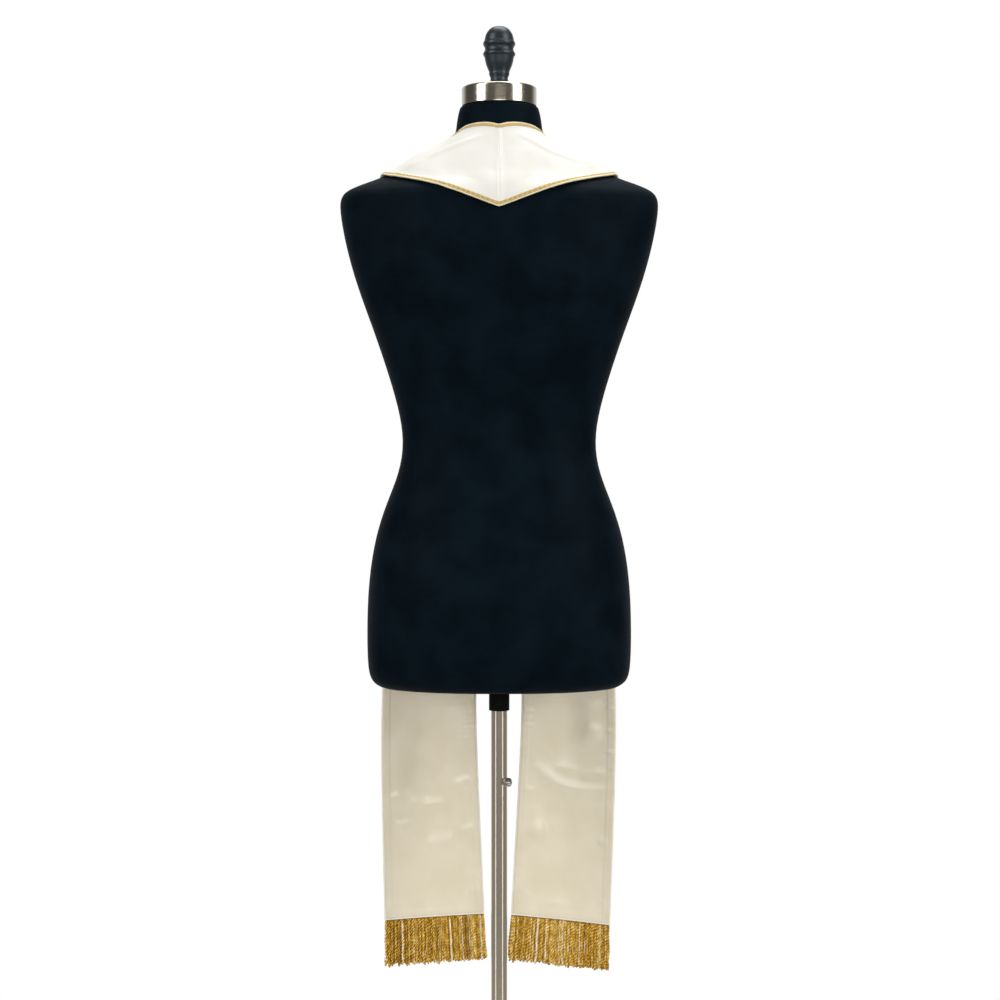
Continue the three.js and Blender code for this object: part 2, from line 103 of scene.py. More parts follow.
def new_material(name, color, **values):
    """A material with one Principled shader. Even values are set on its own sockets."""
    made = bpy.data.materials.new(name)
    made.use_nodes = True
    shader = made.node_tree.nodes["Principled BSDF"]
    shader.inputs["Base Color"].default_value = linear(color)
    for key, value in values.items():
        shader.inputs[key.replace("_", " ")].default_value = value
    return made, made.node_tree, shader


print("mid grey in linear numbers:", round(linear("#808080")[0], 3))

# %% [markdown]
# ## Floor
#
# A round floor in pale matt paint, which fades at its rim into the white backdrop. It glows very
# slightly, because so much light bounces about in a white studio.

# %% Lay the floor
FLOOR_RADIUS, FLOOR_FADE = 1.35, 0.75  # the fade starts at the second radius
FLOOR_GLOW = 0.06
bpy.ops.object.select_all(action="DESELECT")
bpy.ops.mesh.primitive_circle_add(vertices=96, radius=FLOOR_RADIUS, fill_type="NGON")
floor = bpy.context.object
floor.name = "studio_floor"
floor_paint, tree, shader = new_material(
    "matt_white_floor_paint", "#e9e7e2", Roughness=0.9,
    Emission_Color=linear("#ffffff"), Emission_Strength=FLOOR_GLOW,
)
place = add(tree, "ShaderNodeTexCoord")
out_from_pole = add(
    tree, "ShaderNodeVectorMath", {0: place.outputs["Object"]}, operation="LENGTH",
)
fade = add(tree, "ShaderNodeMapRange", {
    "Value": out_from_pole.outputs["Value"], "From Min": FLOOR_FADE,
    "From Max": FLOOR_RADIUS - 0.02, "To Min": 1.0, "To Max": 0.0,
}, interpolation_type="SMOOTHSTEP")
tree.links.new(fade.outputs[0], shader.inputs["Alpha"])
floor.data.materials.append(floor_paint)
print("floor:", 2 * FLOOR_RADIUS, "m across")

# %% [markdown]
# ## Backdrop
#
# To the camera the room is plain white. What lights the object is less even: the backdrop behind
# the form glows, so it rims the black form, and the rest of the room is dim and lightest a little
# below eye level, which gives bright metal something to mirror.

# %% Light the backdrop
BACKDROP_GLOW = 1.0
BACKDROP_EDGE = (-0.9, -0.45)  # the direction's y, from all backdrop to all room
ROOM_HEIGHTS = (-0.5, 0.1)  # the direction's z at the places 0 and 1 of the next row
ROOM_GLOW = ((0.0, 0.1), (0.35, 0.38), (0.62, 0.34), (0.85, 0.12))


def set_stops(ramp, stops):
    """Gives a colour ramp its stops, as (place, colour)."""
    elements = ramp.color_ramp.elements
    for place, _ in stops[1:-1]:
        elements.new(place)
    for element, (place, color) in zip(elements, stops):
        element.position, element.color = place, color


world = bpy.data.worlds.new("studio")
bpy.context.scene.world = world
world.use_nodes = True
tree = world.node_tree
tree.nodes.clear()
direction = add(tree, "ShaderNodeTexCoord")
parts = add(tree, "ShaderNodeSeparateXYZ", {0: direction.outputs["Generated"]})
height = add(tree, "ShaderNodeMapRange", {
    "Value": parts.outputs["Z"], "From Min": ROOM_HEIGHTS[0], "From Max": ROOM_HEIGHTS[1],
})
room = add(tree, "ShaderNodeValToRGB", {"Fac": height.outputs["Result"]})
set_stops(room, [(stop, (value, value, value, 1)) for stop, value in ROOM_GLOW])
glow = add(tree, "ShaderNodeMapRange", {
    "Value": parts.outputs["Y"], "From Min": BACKDROP_EDGE[0], "From Max": BACKDROP_EDGE[1],
    "To Min": BACKDROP_GLOW, "To Max": room.outputs["Color"],
}, interpolation_type="SMOOTHSTEP")
lit = add(tree, "ShaderNodeBackground", {"Strength": glow.outputs["Result"]})
seen = add(tree, "ShaderNodeBackground", {"Color": (1, 1, 1, 1), "Strength": 1.0})
ray = add(tree, "ShaderNodeLightPath")
mixed = add(tree, "ShaderNodeMixShader", {
    0: ray.outputs["Is Camera Ray"], 1: lit.outputs[0], 2: seen.outputs[0],
})
add(tree, "ShaderNodeOutputWorld", {"Surface": mixed.outputs[0]})
bpy.context.scene.view_settings.view_transform = "Standard"
print("backdrop:", BACKDROP_GLOW, "and room:", [value for _, value in ROOM_GLOW])

# %% [markdown]
# ## Soft boxes
#
# Two tall soft boxes stand to the left and right on the camera's side, which puts two upright
# white bars on polished metal. A soft light hangs over the shoulders, a low wide one behind the
# camera finds the creases in the satin, and two strips near the floor light the tube.

# %% Place the soft boxes
# Name, place and target in metres, width and height, power in watts
SOFT_BOXES = (
    ("soft_box_left", (3.8, 2.4, 3.2), (0, 0, 1.0), (2.2, 3.6), 128),
    ("soft_box_right", (-3.8, 2.4, 3.2), (0, 0, 1.0), (2.2, 3.6), 141),
    ("soft_box_top", (-0.3, -0.8, 4.4), (0, 0, 1.0), (2.6, 1.6), 88),
    ("soft_box_front", (-0.2, 4.4, 1.4), (0, 0, 0.9), (2.4, 0.7), 34),
    ("strip_left", (3.55, 2.77, 0.1), (0, 0, 0.1), (0.8, 2.4), 9),
    ("strip_right", (-3.45, 2.9, 0.1), (0, 0, 0.1), (0.8, 2.4), 9),
)
for name, place, target, (wide, tall), watts in SOFT_BOXES:
    bpy.ops.object.light_add(type="AREA", location=place)
    lamp = bpy.context.object
    lamp.name = name
    lamp.data.shape = "RECTANGLE"
    lamp.data.size, lamp.data.size_y = wide, tall
    lamp.data.energy = watts
    lamp.rotation_euler = (Vector(target) - lamp.location).to_track_quat("-Z", "Y").to_euler()
print(len(SOFT_BOXES), "soft boxes")

# %% [markdown]
# ## Small tools
#
# An operator works on whatever is selected, so each step starts with nothing selected. Modifiers
# are applied before a piece is finished. A finished piece gets its material and its body, hides
# the solids that it stands for, and says how big it came out.

# %% Select, apply, smooth and dress
def activate(piece):
    """Leaves one piece selected and active."""
    bpy.ops.object.select_all(action="DESELECT")
    piece.select_set(True)
    bpy.context.view_layer.objects.active = piece


def apply_modifiers(piece):
    activate(piece)
    for modifier in list(piece.modifiers):
        bpy.ops.object.modifier_apply(modifier=modifier.name)


def smooth(piece, degrees=35):
    activate(piece)
    bpy.ops.object.shade_smooth_by_angle(angle=math.radians(degrees))


def dress(piece, material, body, slot, *nodes):
    piece.data.materials.clear()
    piece.data.materials.append(material)
    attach(piece, body)
    if nodes:
        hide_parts(*nodes)
    triangles = sum(len(face.vertices) - 2 for face in piece.data.polygons)
    size = " x ".join(f"{side / MM:.1f}" for side in piece.dimensions)
    print(f"{piece.name}: {triangles} triangles, {size} mm")


# %% [markdown]
# ## Turned pieces
#
# The finial, the cap, the collar and the tubes are all turned or spun, so each is drawn as half
# an outline, one point extruded from the last, and then spun round the pole. On some, a small
# bevel breaks each edge that is left.

# %% Spin an outline
JOIN_WITHIN = 2e-6  # metres between points that are one
BEVEL_FROM = 40  # degrees


def heights(node):
    """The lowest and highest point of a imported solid, in millimetres."""
    low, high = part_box(node)
    return low.z / MM, high.z / MM


def turn(name, outline, steps=96, bevel=0.0):
    """Spins an outline of (radius, height) in millimetres round the pole."""
    bpy.ops.object.select_all(action="DESELECT")
    bpy.ops.mesh.primitive_plane_add(size=1, location=(0, 0, 0))
    piece = bpy.context.object
    piece.name = name
    bpy.ops.object.mode_set(mode="EDIT")
    bpy.ops.mesh.select_mode(type="VERT")
    bpy.ops.mesh.merge(type="CENTER")
    bpy.ops.transform.translate(value=(outline[0][0] * MM, 0, outline[0][1] * MM))
    for (r0, z0), (r1, z1) in zip(outline, outline[1:]):
        bpy.ops.mesh.extrude_region_move(
            TRANSFORM_OT_translate={"value": ((r1 - r0) * MM, 0, (z1 - z0) * MM)}
        )
    bpy.ops.mesh.select_all(action="SELECT")
    bpy.ops.mesh.spin(steps=steps, angle=2 * math.pi, center=(0, 0, 0), axis=(0, 0, 1))
    bpy.ops.mesh.select_all(action="SELECT")
    bpy.ops.mesh.remove_doubles(threshold=JOIN_WITHIN)
    bpy.ops.mesh.normals_make_consistent(inside=False)
    bpy.ops.object.mode_set(mode="OBJECT")
    if bevel:
        edge = piece.modifiers.new("edges", "BEVEL")
        edge.limit_method, edge.angle_limit = "ANGLE", math.radians(BEVEL_FROM)
        edge.width, edge.segments = bevel * MM, 2
        apply_modifiers(piece)
    smooth(piece)
    return piece


print("the cap lies", " to ".join(f"{z:.1f}" for z in heights("neck_cap")), "mm up")

# %% [markdown]
# ### What a pattern does to a surface
#
# A pattern of light and dark can raise a surface, change its gloss or change its colour, and on
# most real finishes it does more than one of these at a time. So one helper does all three.

# %% Let a pattern shape a surface
def shape_surface(tree, shader, pattern, relief=None, gloss=None, tint=None):
    """Gives a surface its relief, gloss or colour from one pattern.

    relief is the bump's strength and its depth in millimetres. gloss is the roughness at two
    values of the pattern, as (value, roughness), and tint a row of (value, sRGB hex).
    """
    if relief:
        bump = add(tree, "ShaderNodeBump", {
            "Height": pattern, "Strength": relief[0], "Distance": relief[1] * MM,
        })
        tree.links.new(bump.outputs[0], shader.inputs["Normal"])
    if gloss:
        (low, smoother), (high, rougher) = gloss
        polish = add(tree, "ShaderNodeMapRange", {
            "Value": pattern, "From Min": low, "From Max": high,
            "To Min": smoother, "To Max": rougher,
        })
        tree.links.new(polish.outputs[0], shader.inputs["Roughness"])
    if tint:
        ramp = add(tree, "ShaderNodeValToRGB", {"Fac": pattern})
        set_stops(ramp, [(stop, linear(code)) for stop, code in tint])
        tree.links.new(ramp.outputs["Color"], shader.inputs["Base Color"])


# %% [markdown]
# ### Brushed nickel
#
# The cap and the sleeve are steel with a satin nickel plating, brushed before it was plated.
# Brushing leaves hair lines that stretch the highlights. On the cap they run round it, from the
# spinning, and on the tube they run along it. Real lines are a few hundredths of a millimetre
# apart, too fine to show, so they are drawn ten times as coarse.

# %% Brushed metals
LINE_STRETCH = 60  # how many times as long as wide a line is


def brushed(name, color, roughness, line_mm, upright):
    """Brushed metal. Its lines run up and down if upright is true, or else round the pole."""
    made, tree, shader = new_material(name, color, Metallic=1.0)
    place = add(tree, "ShaderNodeTexCoord")
    across, along = 1 / (line_mm * MM), 1 / (LINE_STRETCH * line_mm * MM)
    stretched = add(tree, "ShaderNodeMapping", {
        "Vector": place.outputs["Object"],
        "Scale": (across, across, along) if upright else (along, along, across),
    })
    lines = add(tree, "ShaderNodeTexNoise", {
        "Vector": stretched.outputs[0], "Scale": 1.0, "Detail": 3.0,
    })
    shape_surface(
        tree, shader, lines.outputs["Fac"], relief=(0.06, 0.02),
        gloss=((0.3, roughness - 0.04), (0.7, roughness + 0.05)),
    )
    return made


spun_nickel = brushed("brushed_nickel_plate_spun", "#c9bfae", 0.17, 0.3, False)
drawn_nickel = brushed("brushed_nickel_plate_drawn", "#d8cdb9", 0.18, 0.4, True)
stand_steel = brushed("satin_nickel_on_steel", "#b9b4ab", 0.32, 0.5, False)
mast_steel = brushed("drawn_steel_tube", "#b4b0a8", 0.3, 0.4, True)
bright_nickel = brushed("polished_nickel_plate", "#d6d1c8", 0.08, 0.5, False)
print("metals:", spun_nickel.name, drawn_nickel.name, stand_steel.name)

# %% [markdown]
# ### Neck cap
#
# A spun cup that closes the neck: straight side, round shoulder, flat top, open below. The
# outline goes up inside, over the rim and back along the outside.

# %% Spin the neck cap
low, high = heights("neck_cap")
CAP_RADIUS, CAP_BOTTOM, CAP_TOP = 46.5, low - 1.2, high + 0.3
CAP_ROUND, CAP_LIP, CAP_WALL = 3.0, 0.6, 2.5


def quarter(r, z, radius, start, end, steps=8):
    """Points of a round corner about (r, z), from one angle to another, in degrees."""
    turns = np.radians(np.linspace(start, end, steps + 1))
    return [(r + radius * math.cos(a), z + radius * math.sin(a)) for a in turns]


cap_outline = [
    (0, CAP_TOP - CAP_WALL),
    (CAP_RADIUS - CAP_ROUND - 1, CAP_TOP - CAP_WALL),
    (CAP_RADIUS - CAP_WALL, CAP_TOP - CAP_ROUND - 1),
    (CAP_RADIUS - CAP_WALL, CAP_BOTTOM),
    *quarter(CAP_RADIUS - CAP_LIP, CAP_BOTTOM + CAP_LIP, CAP_LIP, -90, 0, 3),
    (CAP_RADIUS, CAP_BOTTOM + 2 * CAP_LIP), (CAP_RADIUS, CAP_TOP - CAP_ROUND - 0.8),
    *quarter(CAP_RADIUS - CAP_ROUND, CAP_TOP - CAP_ROUND, CAP_ROUND, 0, 90),
    (0, CAP_TOP),
]
cap = turn("spun_neck_cap", cap_outline, steps=128)
dress(cap, spun_nickel, "form", "brushed_nickel", "neck_cap")

# %% [markdown]
# ### Curves
#
# A turned outline is a run of curves between crisp corners. A cubic through a few points gives
# such a curve, and the cloth further on is laid with the same one.

# %% Curves through points
def hermite(t, start, slope_in, end, slope_out):
    """A cubic curve from start to end, read where t lies between 0 and 1."""
    return (
        (2 * t**3 - 3 * t**2 + 1) * start + (t**3 - 2 * t**2 + t) * slope_in
        + (3 * t**2 - 2 * t**3) * end + (t**3 - t**2) * slope_out
    )


def smooth_through(knots, values, wanted):
    """Curves through a row of values for each rising knot, read at wanted."""
    knots, values, wanted = (np.asarray(a, float) for a in (knots, values, wanted))
    slopes = np.gradient(values, knots, axis=0)
    k = np.clip(np.searchsorted(knots, wanted, side="right") - 1, 0, len(knots) - 2)
    span = (knots[k + 1] - knots[k]).reshape((-1,) + (1,) * (values.ndim - 1))
    t = (wanted - knots[k]).reshape(span.shape) / span
    return hermite(t, values[k], slopes[k] * span, values[k + 1], slopes[k + 1] * span)


def run_length(points):
    """Distance along a row of points, from its start."""
    steps = np.linalg.norm(np.diff(points, axis=0), axis=-1)
    return np.concatenate([[0.0], np.cumsum(steps)])


def eased(outline, step):
    """The curve through an outline, as points about step apart."""
    outline = np.asarray(outline, float)
    run = run_length(outline)
    count = max(2, int(run[-1] / step) + 1)
    return smooth_through(run, outline, np.linspace(0, run[-1], count)).tolist()


print("half way along a straight curve:", hermite(0.5, 0, 1, 1, 1))

# %% [markdown]
# ### Fine grain
#
# Some finishes have an even fine grain in no direction, such as a spray, a mould, a brush or a
# thread leaves. Noise gives it, with its scale worked out from the grain's size in millimetres.

# %% A finish with a fine grain
def grained(name, color, grain_mm, detail=2.0, relief=None, tint=None, **values):
    made, tree, shader = new_material(name, color, **values)
    place = add(tree, "ShaderNodeTexCoord")
    grain = add(tree, "ShaderNodeTexNoise", {
        "Vector": place.outputs["Object"], "Scale": 1 / (grain_mm * MM), "Detail": detail,
    })
    shape_surface(tree, shader, grain.outputs["Fac"], relief=relief, tint=tint)
    return made


# %% [markdown]
# ### Finial
#
# The knob is turned in wood and lacquered black: a flared foot, a body like an egg cup, two beads
# with a hollow between them, and a domed top. Each stretch between two corners is eased, so the
# corners stay crisp. The lacquer dries with a faint orange peel.

# %% Turn the finial
satin_lacquer = grained(
    "satin_black_lacquer", "#0e2027", 2.5, relief=(0.02, 0.005),
    Roughness=0.42, Specular_IOR_Level=0.6,
)
FINIAL_FOOT = heights("neck_finial")[0]
# Each row is one stretch of (radius, height above the cap), and corners lie between the rows
FINIAL_STRETCHES = (
    ((12.6, 0), (12.4, 5), (11, 9), (10.9, 12), (12, 14.5), (12.8, 16.8)),
    ((12.8, 16.8), (12.4, 19)),
    ((12.4, 19), (14.2, 23), (16.6, 29.5), (17.9, 35.5), (18.5, 38.3)),
    ((18.5, 38.3), (19.6, 39.4), (20, 41.2), (19.6, 42.8), (18.4, 44.4)),
    ((18.4, 44.4), (17.7, 47.8), (18.5, 50.6)),
    ((18.5, 50.6), (19.6, 52), (20, 54), (19.6, 55.8), (18.6, 57.2)),
    ((18.6, 57.2), (17.9, 60.5), (16.7, 65), (14.2, 69.4), (10.9, 72.8), (6.2, 75.1), (0, 75.9)),
)
finial_outline = [(0, FINIAL_FOOT)]
for stretch in FINIAL_STRETCHES:
    points = eased(stretch, 0.8)
    start = 1 if len(finial_outline) > 1 else 0
    finial_outline += [(max(r, 0), FINIAL_FOOT + h) for r, h in points[start:]]
finial = turn("turned_finial", finial_outline, steps=72, bevel=0.25)
dress(finial, satin_lacquer, "form", "turned_black", "neck_finial")

# %% [markdown]
# ### Collar, sleeve, mast and foot
#
# Below the board a collar of moulded black nylon grips the sleeve: dull, with a faint grain from
# the mould. The sleeve is a thin tube that slides on the mast, and the mast stands in a socket on
# a round plate. The tubes are open at both ends, so their outlines close on themselves.

# %% Turn the tubes and the foot
COLLAR_BORE, COLLAR_RADIUS, COLLAR_CHAMFER = 10.3, 12.8, 0.8
MAST_BORE, MAST_RADIUS = 6.5, 8.0
SLEEVE_BORE, SLEEVE_RADIUS = 8.5, 10.0
TUBE_CHAMFER = 0.5
PLATE_RADIUS, PLATE_EDGE = 175, 2.5


def ring(inner, outer, low, high, chamfer=TUBE_CHAMFER):
    """The closed outline of a tube with a small chamfer on its outer edges."""
    return [
        (inner, low), (outer - chamfer, low), (outer, low + chamfer),
        (outer, high - chamfer), (outer - chamfer, high), (inner, high), (inner, low),
    ]


black_nylon = grained(
    "black_moulded_nylon", "#030404", 0.8, relief=(0.1, 0.05),
    Roughness=0.62, Specular_IOR_Level=0.12,
)
collar_outline = ring(COLLAR_BORE, COLLAR_RADIUS, *heights("pole_collar"), COLLAR_CHAMFER)
collar = turn("pole_collar_ring", collar_outline, bevel=0.3)
dress(collar, black_nylon, "form", "turned_black", "pole_collar")

mast = turn("mast_tube", ring(MAST_BORE, MAST_RADIUS, *heights("pole_mast")))
dress(mast, mast_steel, "mast", "stand_steel", "pole_mast")

low, high = heights("base_socket")
socket_outline = [
    (8.3, low), (38, low), (38, low + 4), (35, low + 6), (17, low + 9), (15, low + 12),
    (15, low + 62), (13.5, high), (8.3, high), (8.3, low),
]
socket = turn("mast_socket", socket_outline, bevel=0.6)
dress(socket, stand_steel, "stand", "stand_steel", "base_socket")

low, high = heights("base_plate")
plate_outline = [
    (0, low), (PLATE_RADIUS - 1, low), (PLATE_RADIUS, low + 1),
    *quarter(PLATE_RADIUS - PLATE_EDGE, high - PLATE_EDGE, PLATE_EDGE, 0, 90, 6), (0, high),
]
plate = turn("round_base_plate", plate_outline, steps=160)
dress(plate, stand_steel, "stand", "stand_steel", "base_plate")

# %% [markdown]
# The sleeve has a small hole for the thumb screw. It is drilled with a boolean, by a cylinder
# that lies along the screw's own axis.

# %% Drill the sleeve
SCREW_HEIGHT, SCREW_TURN = 644, math.radians(135)
HOLE_RADIUS, DRILL_LENGTH, DRILL_MIDDLE = 2.7, 9, 9.5
sleeve = turn("sliding_sleeve", ring(SLEEVE_BORE, SLEEVE_RADIUS, *heights("pole_sleeve")))
bpy.ops.object.select_all(action="DESELECT")
bpy.ops.mesh.primitive_cylinder_add(
    vertices=32, radius=HOLE_RADIUS * MM, depth=DRILL_LENGTH * MM,
    location=(
        DRILL_MIDDLE * MM * math.cos(SCREW_TURN), DRILL_MIDDLE * MM * math.sin(SCREW_TURN),
        SCREW_HEIGHT * MM,
    ),
    rotation=(0, math.pi / 2, SCREW_TURN),
)
drill = bpy.context.object
hole = sleeve.modifiers.new("hole", "BOOLEAN")
hole.operation, hole.object, hole.solver = "DIFFERENCE", drill, "EXACT"
apply_modifiers(sleeve)
bpy.data.objects.remove(drill)
smooth(sleeve)
dress(sleeve, drawn_nickel, "form", "brushed_nickel", "pole_sleeve")

# %% [markdown]
# ### Thumb screw
#
# A small knurled knob on a threaded shank. The knurl is cut by pushing in every other column
# of points round the knob. It is turned upright and then laid along its own axis.

# %% Turn the thumb screw
KNURLS, KNURL_FROM, KNURL_DEPTH = 28, 4.9, 0.07  # how many, from which radius, share cut away
screw_outline = [
    (0, 8.6), (2.3, 8.6), (2.3, 10.6), (4.2, 10.6), (4.2, 12), (5.0, 12.2), (5.6, 12.9),
    (5.6, 15), (5.6, 17.2), (5.0, 17.9), (3.2, 18.1), (2.6, 18.6), (2.6, 19.6), (2, 20.2),
    (0, 20.2),
]
screw = turn("thumb_screw", screw_outline, steps=2 * KNURLS)
for vertex in screw.data.vertices:
    x, y = vertex.co.x, vertex.co.y
    column = round(math.atan2(y, x) / math.pi * KNURLS)
    if math.hypot(x, y) / MM > KNURL_FROM and column % 2:
        vertex.co.x, vertex.co.y = x * (1 - KNURL_DEPTH), y * (1 - KNURL_DEPTH)
activate(screw)
screw.rotation_euler = (0, math.pi / 2, SCREW_TURN)
screw.location = (0, 0, SCREW_HEIGHT * MM)
bpy.ops.object.transform_apply(location=True, rotation=True, scale=True)
smooth(screw, 30)
dress(screw, bright_nickel, "lock_screw", "polished_nickel", "lock_screw")

# %% [markdown]
# ## The form's jersey cover
#
# The form is a padded torso under a stretched cotton jersey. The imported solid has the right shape
# but flat facets, so a merged copy of it is turned back into four-sided faces and subdivided. The
# jersey is pulled under the board, which gathers its lower edge into small shallow puckers. The
# cap presses the rim of the neck down.

# %% Make the jersey cover
PUCKERS = (90, 56.7, 27.9)  # three waves of gathers, so many to the turn
PUCKER_DEPTH, PUCKER_TOP, FORM_BOTTOM = 0.7, 800, 762
INNER_WALL = 60  # nothing within this radius is gathered
RIM_LOW, RIM_HIGH, RIM_PRESS = 1472, 1484, 1.4

jersey = bpy.data.objects.new("form_jersey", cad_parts["form_shell"].data.copy())
bpy.context.scene.collection.objects.link(jersey)
activate(jersey)
bpy.ops.object.mode_set(mode="EDIT")
bpy.ops.mesh.select_all(action="SELECT")
bpy.ops.mesh.remove_doubles(threshold=1e-5)
bpy.ops.mesh.tris_convert_to_quads(face_threshold=math.pi, shape_threshold=math.pi)
bpy.ops.object.mode_set(mode="OBJECT")
rounded = jersey.modifiers.new("rounded", "SUBSURF")
rounded.levels = rounded.render_levels = 2
apply_modifiers(jersey)

rng = np.random.default_rng(11)
pucker_starts = rng.uniform(0, 2 * math.pi, 3)
for vertex in jersey.data.vertices:
    x, y, z = (value / MM for value in vertex.co)
    share = min(max((PUCKER_TOP - z) / (PUCKER_TOP - FORM_BOTTOM), 0), 1) ** 2
    radius, angle = math.hypot(x, y), math.atan2(y, x)
    if share and radius > INNER_WALL:
        waves = [math.sin(n * angle + start) for n, start in zip(PUCKERS, pucker_starts)]
        out = 1 + PUCKER_DEPTH * share * sum(waves) / len(waves) / radius
        vertex.co.x, vertex.co.y = vertex.co.x * out, vertex.co.y * out
    vertex.co.z -= RIM_PRESS * MM * min(max((z - RIM_LOW) / (RIM_HIGH - RIM_LOW), 0), 1)
smooth(jersey, 60)
print("jersey points:", len(jersey.data.vertices))

# %% [markdown]
# The cover is a fine black cotton jersey with a little elastane. Jersey is dull, but its short
# fibres catch light at a glancing angle, so the outline glows faintly: that is the sheen. Its
# rows of stitches are about 0.6 mm apart, far too fine to show, so they are drawn twelve times as
# coarse, and its fibres as a grain of 1.6 mm. The dye is a little cloudy.

# %% Black jersey
COURSE_STEP, FIBRE_GRAIN, CLOUD = 7.54, 1.6, 45
WAVE_TURNS = 20 / (2 * math.pi)  # waves in one unit of the wave texture
jersey_knit, tree, shader = new_material(
    "black_cotton_jersey", "#071218", Roughness=0.6, Specular_IOR_Level=0.03,
    Sheen_Weight=0.012, Sheen_Roughness=0.3, Sheen_Tint=linear("#c4d4e0"),
)
place = add(tree, "ShaderNodeTexCoord")
courses = add(tree, "ShaderNodeTexWave", {
    "Vector": place.outputs["Object"], "Scale": 1 / (COURSE_STEP * MM) / WAVE_TURNS,
    "Distortion": 1.5, "Detail": 2.0, "Detail Scale": 3.0,
}, bands_direction="Z")
fibres = add(tree, "ShaderNodeTexNoise", {
    "Vector": place.outputs["Object"], "Scale": 1 / (FIBRE_GRAIN * MM), "Detail": 4.0,
})
knit = add(tree, "ShaderNodeMath", {
    0: courses.outputs["Fac"], 1: fibres.outputs["Fac"],
}, operation="ADD")
shape_surface(tree, shader, knit.outputs[0], relief=(0.35, 0.25))
cloudy = add(tree, "ShaderNodeTexNoise", {
    "Vector": place.outputs["Object"], "Scale": 1 / (CLOUD * MM), "Detail": 3.0,
})
shape_surface(tree, shader, cloudy.outputs["Fac"], tint=((0.35, "#040f16"), (0.7, "#0a171f")))
dress(jersey, jersey_knit, "form", "form_jersey", "form_shell")

# %% [markdown]
# The board that closes the form below keeps its plain shape. It is painted black by brush.

# %% Paint the board
board_paint = grained(
    "black_painted_board", "#0b0b0c", 3, detail=3.0, relief=(0.2, 0.1), Roughness=0.7,
)
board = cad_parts["form_base_board"]
board.data.materials.clear()
board.data.materials.append(board_paint)
print("board:", board_paint.name)

# %% [markdown]
# ## The stole's surface
#
# Both bands come from one pattern: two long edges, given as stations from the centre back over
# the shoulder to the hem, with the cloth spanning them. Where the form is in the way the cloth
# lies just clear of it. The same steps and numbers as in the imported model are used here, so the
# fine cloth lies where the plain solid does.

# %% Edges of a band and levels of the form
# Neck edge x, y, z, outer edge x, y, z and how far the middle bows out, in millimetres
BAND_STATIONS = np.array((
    (0, 57.5, 1456, 0, 100.5, 1350.3, 0),
    (21, 54, 1458.5, 36, 96.3, 1363.6, 0),
    (38, 42, 1456.5, 71, 85.7, 1375.4, 1),
    (48.5, 24, 1453, 104, 64.5, 1385.6, 4),
    (53, 3, 1450.5, 132, 36, 1391, 6.5),
    (54.5, -20, 1445.5, 148, -3, 1394.5, 7),
    (53, -45, 1432, 148, -37, 1385, 5),
    (49.5, -73, 1398, 147, -66, 1356, 3),
    (42, -102, 1338, 143.5, -91, 1297, 2),
    (31, -132, 1258, 138, -114, 1232, 3),
    (20, -140, 1180, 130.5, -126, 1165, 4),
    (12.5, -140, 1085, 124.6, -130, 1080, 4),
    (13, -140, 995, 126.8, -131, 995, 3),
    (22, -139.5, 890, 139.5, -131, 892, 3),
    (33.5, -139, 790, 154, -131, 790, 4),
    (32.4, -139, 704, 156, -131, 704, 5),
    (26.5, -139, 600, 154, -131, 598, 4),
    (20, -139, 446.5, 150.3, -131, 439.5, 3),
))
# Height, half width, depth before and behind the pole, and the superellipse's exponent
FORM_LEVELS = np.array((
    (1486, 49.2, 49, 49, 2), (1474, 51.4, 50, 51, 2), (1460, 53.6, 52, 53, 2),
    (1448, 54.5, 53, 56.5, 2), (1434, 74, 56, 62, 1.85), (1421, 95, 58, 67, 1.7),
    (1408, 119, 60, 73.5, 1.55), (1395, 152, 63, 81, 1.45), (1387, 175, 68, 86.5, 1.6),
    (1380, 190.8, 73, 90.5, 1.78), (1372, 197.6, 79, 94, 2), (1360, 199.4, 87, 97, 2.15),
    (1330, 195.2, 103, 101, 2.2), (1290, 186, 124, 104, 2.2), (1250, 173.2, 134, 101, 2.2),
    (1210, 158.2, 130, 95, 2.2), (1165, 142.5, 112, 87, 2.2), (1110, 125.5, 91, 78, 2.2),
    (1068, 118.9, 84, 75, 2.2), (1030, 124.8, 86, 80, 2.25), (990, 142, 92, 93, 2.3),
    (950, 155, 97, 107, 2.3), (900, 163, 100, 116, 2.35), (850, 165.5, 99, 117, 2.35),
    (800, 165.3, 95, 111, 2.35), (776, 162.9, 91, 105, 2.35), (766, 154.8, 84, 98, 2.35),
    (762, 142, 73, 87, 2.35),
))
# The right band mirrors the left, but leans towards the pole and hangs lower at the hem
SIDES = (
    {
        "name": "left", "sign": 1, "lean": (0, 0), "drop": (0, 0), "neck_sink": 4.0,
        "pucker_seed": 5, "fringe_seed": 31,
    },
    {
        "name": "right", "sign": -1, "lean": (4, 5), "drop": (1.5, 6.5), "neck_sink": 1.8,
        "pucker_seed": 8, "fringe_seed": 47,
    },
)
LEAN_START, LEAN_END = 800, 445
print(len(BAND_STATIONS), "stations,", len(FORM_LEVELS), "levels")

# %% [markdown]
# To keep cloth clear of the form, a point needs to know how far outside it lies and which way is
# out. The levels give a factor that is 1 on the form, and its slope turns it into a distance.

# %% How far a point is from the form
PROBE = 0.5  # the slope is read this far to each side
SETTLE_TRIES, SETTLED = 12, 0.01


